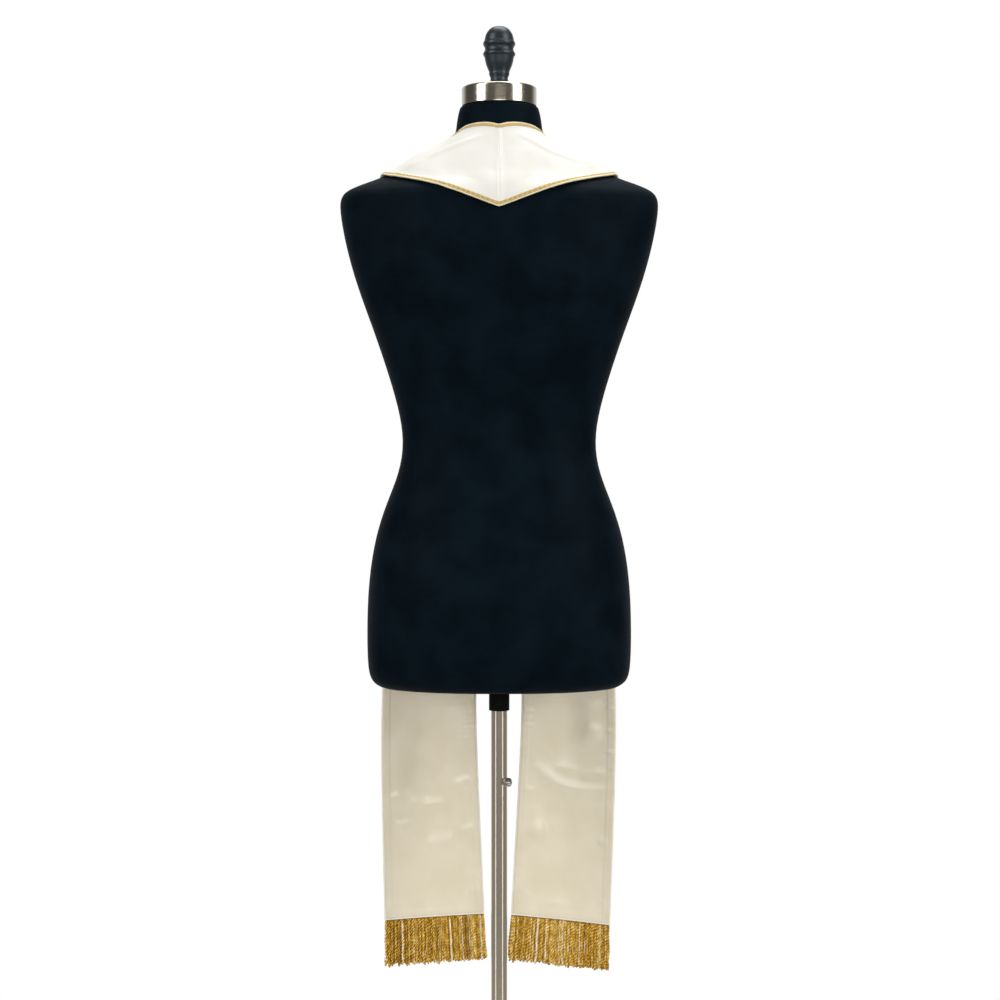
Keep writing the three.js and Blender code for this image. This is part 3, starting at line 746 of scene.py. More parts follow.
def form_factor(x, y, z):
    rows = FORM_LEVELS
    z = min(max(z, rows[-1, 0]), rows[0, 0])
    k = int(np.clip(np.searchsorted(-rows[:, 0], -z) - 1, 0, len(rows) - 2))
    above, below = rows[k], rows[k + 1]
    before, after = rows[max(k - 1, 0)], rows[min(k + 2, len(rows) - 1)]
    span = below[0] - above[0]
    slope_in = (below - before) / (below[0] - before[0]) * span
    slope_out = (after - above) / (after[0] - above[0]) * span
    level = hermite((z - above[0]) / span, above, slope_in, below, slope_out)
    wide, front, back, square = level[1:]
    depth = back if y > 0 else front
    return (abs(x / wide) ** square + abs(y / depth) ** square) ** (1 / square)


def form_gap(point):
    """Distance outside the form, and the way out."""
    slope = np.array([
        form_factor(*(point + PROBE * axis)) - form_factor(*(point - PROBE * axis))
        for axis in np.eye(3)
    ]) / (2 * PROBE)
    steep = np.linalg.norm(slope)
    return (form_factor(*point) - 1) / steep, slope / steep


def settle(point, clearance):
    """Moves a point out until it clears the form."""
    for _ in range(SETTLE_TRIES):
        distance, out = form_gap(point)
        if distance >= clearance - SETTLED:
            break
        point = point + out * (clearance - distance)
    return point


beside_waist = np.array([130.0, 0, 1068])
print("130 mm out, the waist is clear by", round(form_gap(beside_waist)[0], 1), "mm")

# %% [markdown]
# The edges are centripetal Catmull-Rom curves through the stations: they pass through each one
# and don't loop where two lie close together. The rows of the cloth are short over the shoulder
# and longer where it hangs.

# %% Rows of a band
WORN_STEP, HANGING_STEP, HANG_START = 20, 60, 1240


def edge_point(stations, share):
    """The point a share of the way along a centripetal Catmull-Rom curve."""
    place = share * (len(stations) - 1)
    k = min(int(place), len(stations) - 2)
    p1, p2 = stations[k], stations[k + 1]
    p0 = stations[k - 1] if k else 2 * p1 - p2
    p3 = stations[k + 2] if k + 2 < len(stations) else 2 * p2 - p1
    d0, d1, d2 = (np.linalg.norm(b - a) ** 0.5 for a, b in ((p0, p1), (p1, p2), (p2, p3)))
    slope_in = d1 * ((p1 - p0) / d0 - (p2 - p0) / (d0 + d1) + (p2 - p1) / d1)
    slope_out = d1 * ((p2 - p1) / d1 - (p3 - p1) / (d1 + d2) + (p3 - p2) / d2)
    return hermite(place - k, p1, slope_in, p2, slope_out)


def band_rows(side):
    """Pairs of edge points with their bow, from the centre back to the hem."""
    edges = BAND_STATIONS[:, :6].reshape(-1, 2, 3).copy()
    share = np.clip((LEAN_START - edges[..., 2]) / (LEAN_START - LEAN_END), 0, 1)
    edges[..., 0] -= share * side["lean"]
    edges[..., 2] -= share * side["drop"]
    neck, outer = edges[:, 0], edges[:, 1]
    last = len(edges) - 1
    stops = [0.0]
    for k, (start, end) in enumerate(zip(outer, outer[1:])):
        longest = WORN_STEP if start[2] > HANG_START else HANGING_STEP
        steps = math.ceil(np.linalg.norm(end - start) / longest)
        stops += [k + (i + 1) / steps for i in range(steps)]
    bows = np.interp(stops, range(last + 1), BAND_STATIONS[:, 6])
    return [
        (edge_point(neck, stop / last), edge_point(outer, stop / last), bow)
        for stop, bow in zip(stops, bows)
    ]


print("rows:", {side["name"]: len(band_rows(side)) for side in SIDES})

# %% [markdown]
# Each row spans the two edges and bows out a little between them. Then every row is averaged with
# its neighbours and moved clear of the form, a few times over, which drapes the cloth.

# %% Drape the coarse grid
BRAID_WIDTH, BAND_PANELS = 5.5, 5
CLOTH_CLEARANCE, DRAPE_PASSES = 1.5, 6


def cleared(rows):
    return np.array([[settle(point, CLOTH_CLEARANCE) for point in row] for row in rows])


def draped_grid(side):
    """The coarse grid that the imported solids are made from, on the left side."""
    grid = []
    for neck, outer, bow in band_rows(side):
        width = np.linalg.norm(outer - neck)
        middle = np.linspace(BRAID_WIDTH, width - BRAID_WIDTH, BAND_PANELS + 1)
        u = np.concatenate([[0], middle, [width]])[:, None] / width
        lift = form_gap((neck + outer) / 2)[1]
        grid.append(neck + (outer - neck) * u + lift * bow * 4 * u * (1 - u))
    grid = cleared(grid)
    for _ in range(DRAPE_PASSES):
        grid[1:-1] = cleared(grid[1:-1] / 2 + (grid[:-2] + grid[2:]) / 4)
    return grid


coarse = {side["name"]: draped_grid(side) for side in SIDES}
print("coarse grids:", {name: grid.shape[:2] for name, grid in coarse.items()})

# %% [markdown]
# ## Creases
#
# Satin shows every dent, because its highlights are long and soft. The creases are listed one by
# one, each a line of (x, z) points with a height and a width: a positive height stands out
# towards the wearer's back. The broad ones are the cloth's slack, and the narrow ones are where
# it was folded or dented.

# %% Place the creases
CREASE_FADE = 0.95  # the share of its height that a crease loses at its ends
# Lines on the back of the neck, then on the hanging ends, with height and half width
YOKE_CREASES = (
    (((19, 1439), (47, 1429.5), (71, 1420), (89, 1412)), 1.5, 2.2),
    (((89, 1412.6), (110, 1404), (129, 1394.5)), 1.1, 2.5),
    (((-22, 1441.5), (-38, 1434), (-60, 1422), (-80, 1414), (-100, 1408)), 1.7, 2.2),
    (((-86, 1423.5), (-110, 1409), (-129, 1397)), 1.1, 2.5),
    (((40, 1400), (60, 1385), (72, 1375)), -1.1, 12),
    (((-45, 1405), (-66, 1388), (-85, 1382)), -1.4, 12),
    (((12, 1425), (16, 1395), (14, 1370)), 1.0, 9),
    (((-14, 1425), (-20, 1398), (-16, 1372)), 1.0, 9),
)
HANGING_CREASES = (
    (((150, 598), (133, 602.6), (118, 597.3)), 1.2, 4.6),
    (((118, 597.3), (97, 589.4), (71, 593.4)), 2.1, 8.1),
    (((140, 567), (127.6, 563), (113, 571)), 1.4, 5.2),
    (((67, 612), (54, 619.8), (37, 625.5)), 1.2, 4.6),
    (((54, 555), (43, 557.6), (32, 563)), 1.4, 5.2),
    (((95, 533), (77, 541.8), (57, 547)), 2.6, 9.4),
    (((40, 475.5), (30, 477), (22, 481)), 1.0, 3.5),
    (((36, 498), (25, 494)), 0.8, 2.9),
    (((149, 458), (134, 462.3)), 0.7, 2.5),
    (((-45, 645), (-60, 632), (-75.4, 618.5), (-94, 612.5), (-120, 610), (-150, 611.9)), 2.0, 8.1),
    (((-107, 627), (-127, 633), (-144, 630.4)), 1.4, 5.8),
    (((-125, 587), (-148, 592)), 1.0, 4.0),
    (((-43, 546), (-52, 555), (-66, 557.6)), 2.1, 12.3),
    (((-130, 544), (-143, 541.8)), 1.3, 4.6),
    (((-22, 482), (-34, 475.5), (-41, 469), (-51, 468.9)), 0.9, 3.0),
    (((-130, 462), (-142, 461)), 0.7, 2.5),
    (((-33, 612), (-47, 609)), 0.9, 3.5),
    (((-111, 692.5), (-136, 684.6)), 1.4, 9.3),
    (((95, 740), (100, 660), (92, 560), (96, 470)), -3.1, 22),
    (((55, 720), (60, 640), (50, 540)), 2.2, 16),
    (((130, 690), (133, 600), (128, 520)), 1.7, 14),
    (((-90, 740), (-95, 690), (-88, 640)), -2.5, 20),
    (((-80, 590), (-84, 530), (-78, 460)), -2.8, 20),
    (((-120, 730), (-122, 670)), 2.1, 16),
    (((-50, 590), (-55, 520), (-45, 470)), 1.8, 14),
    (((113, 731.4), (92, 729), (72, 728), (50, 730.5), (32, 734.7)), 1.3, 3.0),
    (((-35, 726), (-60, 731), (-100, 736)), 1.2, 3.0),
    *((((34, z), (50, z - 1)), 0.9, 1.7) for z in (729, 724, 718, 712, 706, 700, 693, 687, 680)),
    *((((-34, z), (-46, z)), 0.8, 1.7) for z in (726, 715, 705, 696)),
    *((((-138, z), (-151, z)), 0.8, 1.7) for z in (729, 719, 689, 661)),
)


def bell(distance, reach, power=2):
    """1 at no distance, fading past the reach. A higher power keeps it flat for longer."""
    return np.exp(-(np.abs(distance / reach) ** power))


def crease(x, z, line, height, width):
    """One soft ridge along a line, which fades towards its ends."""
    line = np.array(line, float)
    run = run_length(line)
    nearest, along = np.full(x.shape, np.inf), np.zeros(x.shape)
    for k, (a, b) in enumerate(zip(line, line[1:])):
        step = b - a
        t = np.clip(((x - a[0]) * step[0] + (z - a[1]) * step[1]) / (step @ step), 0, 1)
        away = np.hypot(x - a[0] - t * step[0], z - a[1] - t * step[1])
        closer = away < nearest
        nearest = np.where(closer, away, nearest)
        along = np.where(closer, (run[k] + t * (run[k + 1] - run[k])) / run[-1], along)
    return height * bell(nearest, width) * (1 - CREASE_FADE * (2 * along - 1) ** 4)


print("creases:", len(YOKE_CREASES), "on the back,", len(HANGING_CREASES), "on the hanging ends")

# %% [markdown]
# Along each sewn edge the stitching draws the cloth up a little, so short puckers run in from the
# edge. Their places come from a seeded draw, so they are the same each time.

# %% Puckers along the sewn edges
EDGE_PUCKERS, PUCKER_GAPS, PUCKER_WIDTHS = 120, (7, 26), (1.6, 3.4)
PUCKER_HEIGHT, PUCKER_REACH = 0.5, 9


def puckers(along, from_edge, rng):
    """Small ridges square to an edge: some up, some down."""
    places = np.cumsum(rng.uniform(*PUCKER_GAPS, EDGE_PUCKERS))
    heights = rng.uniform(-1, 1, EDGE_PUCKERS)
    widths = rng.uniform(*PUCKER_WIDTHS, EDGE_PUCKERS)
    ridges = (heights * bell(along[:, None] - places, widths)).sum(axis=1)
    return PUCKER_HEIGHT * ridges[:, None] * bell(from_edge, PUCKER_REACH)


# %% [markdown]
# ## A fine surface for each band
#
# The coarse grid is read again as smooth curves, along and then across, with extra rows and
# columns where the sewing shows: at the centre back seam, at the hem and along both edges.

# %% Lay out the fine rows and columns
MIDDLE_COLUMNS = 40
FIRST_ROW, LAST_ROW = 4.0, 11  # the even rows keep this far from the seam and the hem
# Row spacing at a length along the band
ROW_STEPS = (
    (0, 3.0), (170, 3.5), (220, 7.0), (800, 7.0), (850, 2.1), (980, 2.1), (1000, 2.8),
    (1300, 2.8),
)
EDGE_STOPS = np.array((0, 0.4, 1.4, 1.6, 2.6, 3.6, 4.6, 5.6, 7, 8.6, 9.4, 10.4, 12.5))
SEAM_ROWS = np.array((0, 0.6, 1.4, 2.4))
HEM_ROWS = np.array((6.5, 4.5, 3.0, 1.6, 1.4, 0.4, 0))


def fine_grid(side):
    """Points in rows and columns, with their lengths along the band and in from its neck edge."""
    grid = coarse[side["name"]]
    run = run_length(grid[:, 3:5].mean(axis=1))
    even = [FIRST_ROW]
    while even[-1] < run[-1] - LAST_ROW:
        even.append(even[-1] + np.interp(even[-1], *zip(*ROW_STEPS)))
    along = np.concatenate([SEAM_ROWS, even, run[-1] - HEM_ROWS])
    points, from_neck = [], []
    for row in smooth_through(run, grid, along):
        knots = run_length(row)
        inner = np.linspace(EDGE_STOPS[-1], knots[-1] - EDGE_STOPS[-1], MIDDLE_COLUMNS + 2)
        stops = np.concatenate([EDGE_STOPS, inner[1:-1], knots[-1] - EDGE_STOPS[::-1]])
        points.append(smooth_through(knots, row, stops))
        from_neck.append(stops)
    return along, np.array(from_neck), np.array(points)


def outward(points):
    out = np.cross(np.gradient(points, axis=0), np.gradient(points, axis=1))
    out[0, :, 0] = 0
    return out / np.linalg.norm(out, axis=-1, keepdims=True)


print("columns:", len(EDGE_STOPS), "along each edge and", MIDDLE_COLUMNS, "between")

# %% [markdown]
# The cloth's weight eases it here and there. It sinks beside the neck and dips to a point at the
# seam, its outer edge hangs a little on the back and draws in beside the waist, and it is pressed
# thin against the neck.

# %% Ease the cloth
NECK_MIDDLE, NECK_SPREAD, NECK_ACROSS = 5, 32, 42
NECK_NOTCH, NOTCH_ALONG, NOTCH_ACROSS = 3.0, 12, 25
BACK_SINK, BACK_START, BACK_RAMP, BACK_ACROSS = 1.3, 40, 30, 40
WAIST_TUCK, WAIST_HEIGHT, WAIST_REACH, WAIST_DEPTH = 2.4, 1072, 60, -60
PRESS_SPREAD, PRESS_ACROSS = 42, 16


def ease(side, along, from_neck, points):
    """Moves the points as the cloth's weight does, and gives how far each is pressed."""
    y, z = points[..., 1], points[..., 2]
    width = from_neck[:, -1:]
    sink = side["neck_sink"] * bell(y - NECK_MIDDLE, NECK_SPREAD) * bell(from_neck, NECK_ACROSS, 4)
    notch = NECK_NOTCH * bell(along[:, None], NOTCH_ALONG, 1) * bell(from_neck, NOTCH_ACROSS)
    on_back = np.clip((y - BACK_START) / BACK_RAMP, 0, 1)
    hang = BACK_SINK * on_back * bell(width - from_neck, BACK_ACROSS, 4)
    points[..., 2] -= sink + notch + hang
    at_waist = bell(z - WAIST_HEIGHT, WAIST_REACH) * (y < WAIST_DEPTH)
    points[..., 0] -= WAIST_TUCK * at_waist * from_neck / width
    pressed = bell(y, PRESS_SPREAD) * bell(from_neck, PRESS_ACROSS, 4)
    points -= outward(points) * pressed[..., None]
    return pressed


# %% [markdown]
# Then the creases, the puckers and the centre back seam raise it, and where it is worn it is
# moved clear of the form once more. The right band is made on the left and mirrored.

# %% Crease and settle the cloth
SEAM_GAP = 0.02  # each half stops just short of the middle
SEAM_LIFT = ((0, -0.5), (0.6, 0.2), (1.4, 1.0), (2.4, 0.6), (4, 0))
YOKE_START, YOKE_RAMP, HANGING_TOP, HANGING_RAMP = 10, 30, 800, 60
FINE_CLEARANCE, SETTLE_ABOVE = 0.6, 1180
NECK_PRESS = 0.4  # the share of its thickness that the cloth loses against the neck


def ridges(side, along, from_neck, points):
    """How far the creases, the puckers and the seam raise each point."""
    x, y, z = side["sign"] * points[..., 0], points[..., 1], points[..., 2]
    height = sum(crease(x, z, *line) for line in YOKE_CREASES)
    height = height * np.clip((y - YOKE_START) / YOKE_RAMP, 0, 1)
    hanging = sum(crease(x, z, *line) for line in HANGING_CREASES)
    height -= hanging * np.clip((HANGING_TOP - z) / HANGING_RAMP, 0, 1)
    rng = np.random.default_rng(side["pucker_seed"])
    height += puckers(along, from_neck, rng) + puckers(along, from_neck[:, -1:] - from_neck, rng)
    return height + np.interp(along, *zip(*SEAM_LIFT))[:, None]


def fine_surface(side):
    along, from_neck, points = fine_grid(side)
    points[0, :, 0] = SEAM_GAP
    pressed = ease(side, along, from_neck, points)
    points += outward(points) * ridges(side, along, from_neck, points)[..., None]
    for i, j in np.argwhere(points[..., 2] > SETTLE_ABOVE):
        points[i, j] = settle(points[i, j], FINE_CLEARANCE)
    points[0, :, 0] = SEAM_GAP
    mirror = np.array([side["sign"], 1, 1])
    return {
        "side": side, "along": along, "from_neck": from_neck, "points": points * mirror,
        "out": outward(points) * mirror * (1 - NECK_PRESS * pressed)[..., None],
    }


surfaces = {side["name"]: fine_surface(side) for side in SIDES}
for name, surface in surfaces.items():
    size = surface["points"].shape[:2]
    print(name, "band:", size, "points,", round(surface["along"][-1]), "mm long")

# %% [markdown]
# ## Satin
#
# The face is a heavy ivory bridal satin and the lining a lighter cream one. Satin floats most of
# its warp on the surface, so it is smooth along its length and its highlight is soft and wide
# across it. The threads are about 0.1 mm apart, far too fine to show, so only the slubs, the
# slightly thicker threads, are drawn, about a millimetre apart. The cloth's own map is in
# millimetres, across and then along.

# %% Two satins
WEFT_SLUB, WARP_SLUB = 25, 40  # how many times as long as wide a slub is
PATCH = (34, 46)  # patches where the shade wanders


def satin(name, shade_low, shade_high, roughness, slub_mm):
    made, tree, shader = new_material(
        name, shade_high, Specular_IOR_Level=0.75, Anisotropic=0.4, Sheen_Weight=0.08,
        Sheen_Roughness=0.4,
    )
    weave = add(tree, "ShaderNodeUVMap", uv_map="cloth")
    patterns = []
    for (width, length), detail in (
        ((WEFT_SLUB * slub_mm, slub_mm), 3.0), ((slub_mm, WARP_SLUB * slub_mm), 3.0), (PATCH, 2.0),
    ):
        drawn = add(tree, "ShaderNodeMapping", {
            "Vector": weave.outputs[0], "Scale": (1 / width, 1 / length, 1),
        })
        patterns.append(add(tree, "ShaderNodeTexNoise", {
            "Vector": drawn.outputs[0], "Scale": 1.0, "Detail": detail,
        }).outputs["Fac"])
    weft, warp, patches = patterns
    threads = add(tree, "ShaderNodeMath", {0: weft, 1: warp}, operation="ADD")
    shape_surface(
        tree, shader, threads.outputs[0], relief=(0.06, 0.1),
        gloss=((0.6, roughness - 0.01), (1.4, roughness + 0.02)),
    )
    shape_surface(tree, shader, patches, tint=((0.34, shade_low), (0.66, shade_high)))
    return made


face_satin = satin("ivory_bridal_satin", "#efede3", "#f5f3ec", 0.36, 0.9)
lining_satin = satin("cream_lining_satin", "#e6dbc0", "#ece2ca", 0.31, 1.1)
print("cloth:", face_satin.name, lining_satin.name)

# %% [markdown]
# ## From points to a mesh
#
# Cloth and cords are made from grids of points, so they need a way from points to a mesh. The
# points are in millimetres, and the normals are turned outwards once the mesh is whole.

# %% Points to a mesh
def mesh_piece(name, points, faces, uv=None, shades=None):
    """A piece from points in millimetres. uv holds a pair for each point, shades one number."""
    mesh = bpy.data.meshes.new(name)
    mesh.from_pydata((np.asarray(points) * MM).tolist(), [], faces)
    mesh.update()
    corners = np.zeros(len(mesh.loops), int)
    mesh.loops.foreach_get("vertex_index", corners)
    if uv is not None:
        layer = mesh.uv_layers.new(name="cloth")
        layer.data.foreach_set("uv", np.asarray(uv)[corners].astype(np.float32).ravel())
    if shades is not None:
        layer = mesh.attributes.new("shade", "FLOAT", "POINT")
        layer.data.foreach_set("value", np.asarray(shades, np.float32))
    piece = bpy.data.objects.new(name, mesh)
    bpy.context.scene.collection.objects.link(piece)
    activate(piece)
    bpy.ops.object.mode_set(mode="EDIT")
    bpy.ops.mesh.select_all(action="SELECT")
    bpy.ops.mesh.normals_make_consistent(inside=False)
    bpy.ops.object.mode_set(mode="OBJECT")
    return piece


# %% [markdown]
# ## Face and lining
#
# Each is a thin slab: the same surface moved out by two heights, joined round the rim. The face
# is folded over at its edges, so it is thicker there and hides the edge of the lining, which
# stops just short of it. The seam allowance inside makes a low step about 10 mm from each edge.

# %% Sew the face and the lining
# Distance from the edge, underside and upper side of each layer, in millimetres
FACE_EDGE = ((0, 1.0, 1.5), (0.4, 0.45, 2.2), (1.4, 0.35, 2.4), (1.6, 1.3, 2.4), (300, 1.3, 2.4))
LINING_EDGE = (
    (1.6, 0.1, 1.0), (2.6, -0.45, 1.25), (9.4, -0.45, 1.25), (10.4, 0, 1.25), (300, 0, 1.25),
)
LINING_COLUMN, LINING_ROW = 3, -3  # where the lining starts and stops
HEM_LIP = -0.6  # the turned hem stands proud of the lining's lower edge


def slab(name, surface, edge, rows=slice(None), columns=slice(None), lip=None):
    """A layer of a band: some of its rows and columns, moved out to two heights."""
    along, from_neck = surface["along"][:, None], surface["from_neck"]
    from_edge = np.minimum(np.minimum(from_neck, from_neck[:, -1:] - from_neck), along[-1] - along)
    stops, low, high = zip(*edge)
    under, upper = (np.interp(from_edge[rows, columns], stops, side) for side in (low, high))
    if lip is not None:
        under[LINING_ROW:] = lip
    points, out = surface["points"][rows, columns], surface["out"][rows, columns]
    layers = [(points + out * lift[..., None]).reshape(-1, 3) for lift in (under, upper)]
    uv = np.stack(np.broadcast_arrays(from_neck[rows, columns], along[rows]), -1).reshape(-1, 2)

    index, top = np.arange(under.size).reshape(under.shape), under.size
    corners = [index[:-1, :-1], index[:-1, 1:], index[1:, 1:], index[1:, :-1]]
    quads = np.stack(corners, -1).reshape(-1, 4)
    rim = np.concatenate([index[0], index[1:, -1], index[-1, -2::-1], index[-2:0:-1, 0]])
    ahead = np.roll(rim, -1)
    faces = np.concatenate([
        quads[:, ::-1], quads + top, np.stack([rim, ahead, ahead + top, rim + top], -1),
    ])
    return mesh_piece(name, np.concatenate(layers), faces.tolist(), uv=np.concatenate([uv, uv]))


faces, linings = {}, {}
for name, surface in surfaces.items():
    faces[name] = slab(f"satin_band_{name}", surface, FACE_EDGE, lip=HEM_LIP)
    linings[name] = slab(
        f"satin_lining_{name}", surface, LINING_EDGE,
        rows=slice(0, LINING_ROW), columns=slice(LINING_COLUMN, -LINING_COLUMN),
    )
    for piece in (faces[name], linings[name]):
        smooth(piece, 50)
    dress(faces[name], face_satin, "form", "face_satin", f"band_{name}")
    dress(linings[name], lining_satin, "form", "lining_satin", f"lining_{name}")

# %% [markdown]
# ## Sewing things on
#
# Braid, stitches and fringe all follow the cloth. So a point on a band is given by how far it is
# along, how far in from an edge and how far off the surface, and read between the nearest rows
# and columns.

# %% Find a point on a band
def in_from(surface, edge, away):
    """Column numbers for distances in from the inner or the outer edge."""
    past_edge = np.minimum(away, 0) / EDGE_STOPS[1]
    columns = np.interp(away, EDGE_STOPS, np.arange(len(EDGE_STOPS))) + past_edge
    return columns if edge == "inner" else surface["points"].shape[1] - 1 - columns


def on_band(surface, along, columns, lift):
    """Points on a band, from places along it, column numbers and heights off it."""
    along, columns, lift = np.broadcast_arrays(along, columns, lift)
    high = np.array(surface["points"].shape[:2]) - 2
    rows = np.interp(along, surface["along"], np.arange(high[0] + 2))
    i, j = np.clip(rows.astype(int), 0, high[0]), np.clip(columns.astype(int), 0, high[1])
    u, v = (rows - i)[..., None], (columns - j)[..., None]

    def read(grid):
        near = (1 - v) * grid[i, j] + v * grid[i, j + 1]
        far = (1 - v) * grid[i + 1, j] + v * grid[i + 1, j + 1]
        return (1 - u) * near + u * far

    return read(surface["points"]) + read(surface["out"]) * lift[..., None]


for name, surface in surfaces.items():
    corner = on_band(surface, surface["along"][-1], 0, 0)
    print(name, "band, the hem's inner corner:", corner.round(1).tolist())

# %% [markdown]
# What repeats along a band is made as many small parts, which are joined into one piece. A
# point keeps a shade, from about 0 to 1, that its material reads.

# %% Join parts
def joined(name, parts):
    """One piece from (points, faces, shade) parts."""
    points = np.concatenate([part[0] for part in parts])
    shades = np.concatenate([np.broadcast_to(part[2], len(part[0])) for part in parts])
    starts = np.cumsum([0] + [len(part[0]) for part in parts[:-1]])
    faces = [[k + start for k in face] for start, part in zip(starts, parts) for face in part[1]]
    return mesh_piece(name, points, faces, shades=shades)


# %% [markdown]
# A tube through rings of points serves every cord here. A two-ply cord is two threads laid
# together, so its section has two lobes that turn as they go along.

# %% Tubes and two-ply cords
CORD_SIDES = 8
BETWEEN_PLIES = 0.6  # the section's reach between its two lobes, as a share of its full reach
HEM_GAP = 0.4  # a cord along an edge stops this far short of the hem


def tube_faces(rings, sides):
    """Quads between rings, with a cap at both ends."""
    index = np.arange(rings * sides).reshape(rings, sides)
    ahead = np.roll(index, -1, axis=1)
    quads = np.stack([index[:-1], ahead[:-1], ahead[1:], index[1:]], -1).reshape(-1, 4)
    return quads.tolist() + [index[0, ::-1].tolist(), index[-1].tolist()]


def two_lobes(along, radius, pitch, turn_start=0.0):
    """Offsets sideways and upwards of each ring of a two-ply cord, and 1 on a ply, 0 between."""
    turning = turn_start + 2 * math.pi * along / pitch
    around = np.linspace(0, 2 * math.pi, CORD_SIDES, endpoint=False)
    crest = np.abs(np.cos(around))
    reach = np.asarray(radius)[..., None] * (BETWEEN_PLIES + (1 - BETWEEN_PLIES) * crest)
    angle = around + turning[:, None]
    return reach * np.cos(angle), reach * np.sin(angle), crest


def edge_cord(surface, edge, away, lift, radius, pitch, step):
    """A two-ply cord along an edge of a band: its points, its faces and where its plies are."""
    stop = surface["along"][-1] - HEM_GAP
    along = np.linspace(0, stop, int(stop / step))
    aside, up, crest = two_lobes(along, radius, pitch)
    points = on_band(surface, along[:, None], in_from(surface, edge, away + aside), lift + up)
    return points.reshape(-1, 3), tube_faces(len(along), CORD_SIDES), np.tile(crest, len(along))


print("a cord has", CORD_SIDES, "sides, and its waist is", BETWEEN_PLIES, "of its full reach")

# %% [markdown]
# A stitch is a small closed lens, flat below and pointed at both ends. One is shaped, and each
# row of stitches is made of its copies.

# %% Beads and rows of beads
BEAD_RINGS = ((-0.42, 0.7), (0.0, 1.0), (0.42, 0.7))  # place along it and fullness
BEAD_SECTION = ((-0.5, 0), (-0.22, 0.9), (0.22, 0.9), (0.5, 0), (0, -0.3))  # aside and up
BEAD_TIPS = ((-0.5, 0, 0.35), (0.5, 0, 0.35))


def bead(length, width, height, lean=0.0):
    """Points as along, aside and up, and faces."""
    rings = [
        (along, aside * full, up * full)
        for along, full in BEAD_RINGS for aside, up in BEAD_SECTION
    ]
    points = np.array([BEAD_TIPS[0], *rings, BEAD_TIPS[1]]) * (length, width, height)
    points[:, 1] += lean * points[:, 0]
    sides, last = len(BEAD_SECTION), len(points) - 1
    pairs = [(s, (s + 1) % sides) for s in range(sides)]
    faces = [
        [r + s, r + t, r + t + sides, r + s + sides]
        for r in range(1, last - sides, sides) for s, t in pairs
    ]
    faces += [[0, 1 + t, 1 + s] for s, t in pairs]
    faces += [[last, last - sides + s, last - sides + t] for s, t in pairs]
    return points, faces


def bead_row(surface, shape, along, columns, lift, side=1, shades=0.0):
    """Copies of a bead on a band, one for each row of along or columns. side -1 turns it over."""
    points, faces = shape
    placed = on_band(surface, along, columns, lift + side * points[:, 2])
    copies = [[k + n * len(points) for k in face] for n in range(len(placed)) for face in faces]
    return placed.reshape(-1, 3), copies, shades


print("one bead:", len(bead(1, 1, 1)[1]), "faces")

# %% [markdown]
# ## Gold braid
#
# A narrow woven braid of gilt thread over a yellow core. Its body is a herringbone, two rows of
# short slanted stitches that meet at the middle, in a deeper gold. The edge towards the air is
# a thicker, paler two-ply cord, and the edge towards the satin a thin one. Each is modelled, on a
# low tape that follows the band.

# %% Weave the braid
# Distance in from the edge, underside and upper side of the tape
TAPE = ((0.5, 2.35, 2.5), (1.7, 2.35, 2.85), (3.4, 2.35, 3.0), (5.0, 2.35, 2.8), (5.5, 2.35, 2.45))
TAPE_SHADE, TAPE_END = 0.15, -3  # the tape stops short of the hem's last rows
# Distance in, lift, radius, length of a full turn and shade of the two edge cords
EDGE_CORDS = ((0.6, 1.9, 1.35, 5.0, 1.05), (5.15, 2.75, 0.45, 3.6, 0.4))
EDGE_CORD_STEP, PLY_SHADOW = 0.85, 0.25
LEAVES = ((2.65, -0.75), (4.15, 0.75))  # distance in and lean of the two rows of stitches
LEAF_SIZE, LEAF_SLANT, LEAF_LIFT, LEAF_PITCH = (2.9, 1.5, 0.95), 0.62, 2.8, 2.4
LEAF_START, LEAF_END, LEAF_SHADE = 1.6, 2.2, 0.28


def braid_parts(surface, edge):
    away, low, high = (np.array(v) for v in zip(*TAPE))
    along, columns = surface["along"][:TAPE_END, None], in_from(surface, edge, away)
    under, upper = (on_band(surface, along, columns, lift) for lift in (low, high))
    section = np.concatenate([under, upper[:, ::-1]], axis=1)
    parts = [(section.reshape(-1, 3), tube_faces(*section.shape[:2]), TAPE_SHADE)]
    for away, lift, radius, pitch, shade in EDGE_CORDS:
        points, faces, crest = edge_cord(
            surface, edge, away, lift, radius, pitch, EDGE_CORD_STEP,
        )
        parts.append((points, faces, shade - PLY_SHADOW * (1 - crest)))
    places = np.arange(LEAF_START, surface["along"][-1] - LEAF_END, LEAF_PITCH)
    for away, lean in LEAVES:
        leaf = bead(*LEAF_SIZE, lean * LEAF_SLANT)
        columns = in_from(surface, edge, away + leaf[0][:, 1])
        shades = np.repeat(LEAF_SHADE * (np.arange(len(places)) % 2), len(leaf[0]))
        along = places[:, None] + leaf[0][:, 0]
        parts.append(bead_row(surface, leaf, along, columns, LEAF_LIFT, shades=shades))
    return parts


braids = {
    (name, edge): joined(f"gold_braid_{edge}_{name}", braid_parts(surface, edge))
    for name, surface in surfaces.items() for edge in ("inner", "outer")
}
print("braids:", [piece.name for piece in braids.values()])

# %% [markdown]
# Gilt thread is a flat foil wound on a yellow core. The winding breaks its shine into small
# glints, and the core shows between the turns, so the thread is only partly metallic. The foil
# wears first at its edges, which varies the colour.

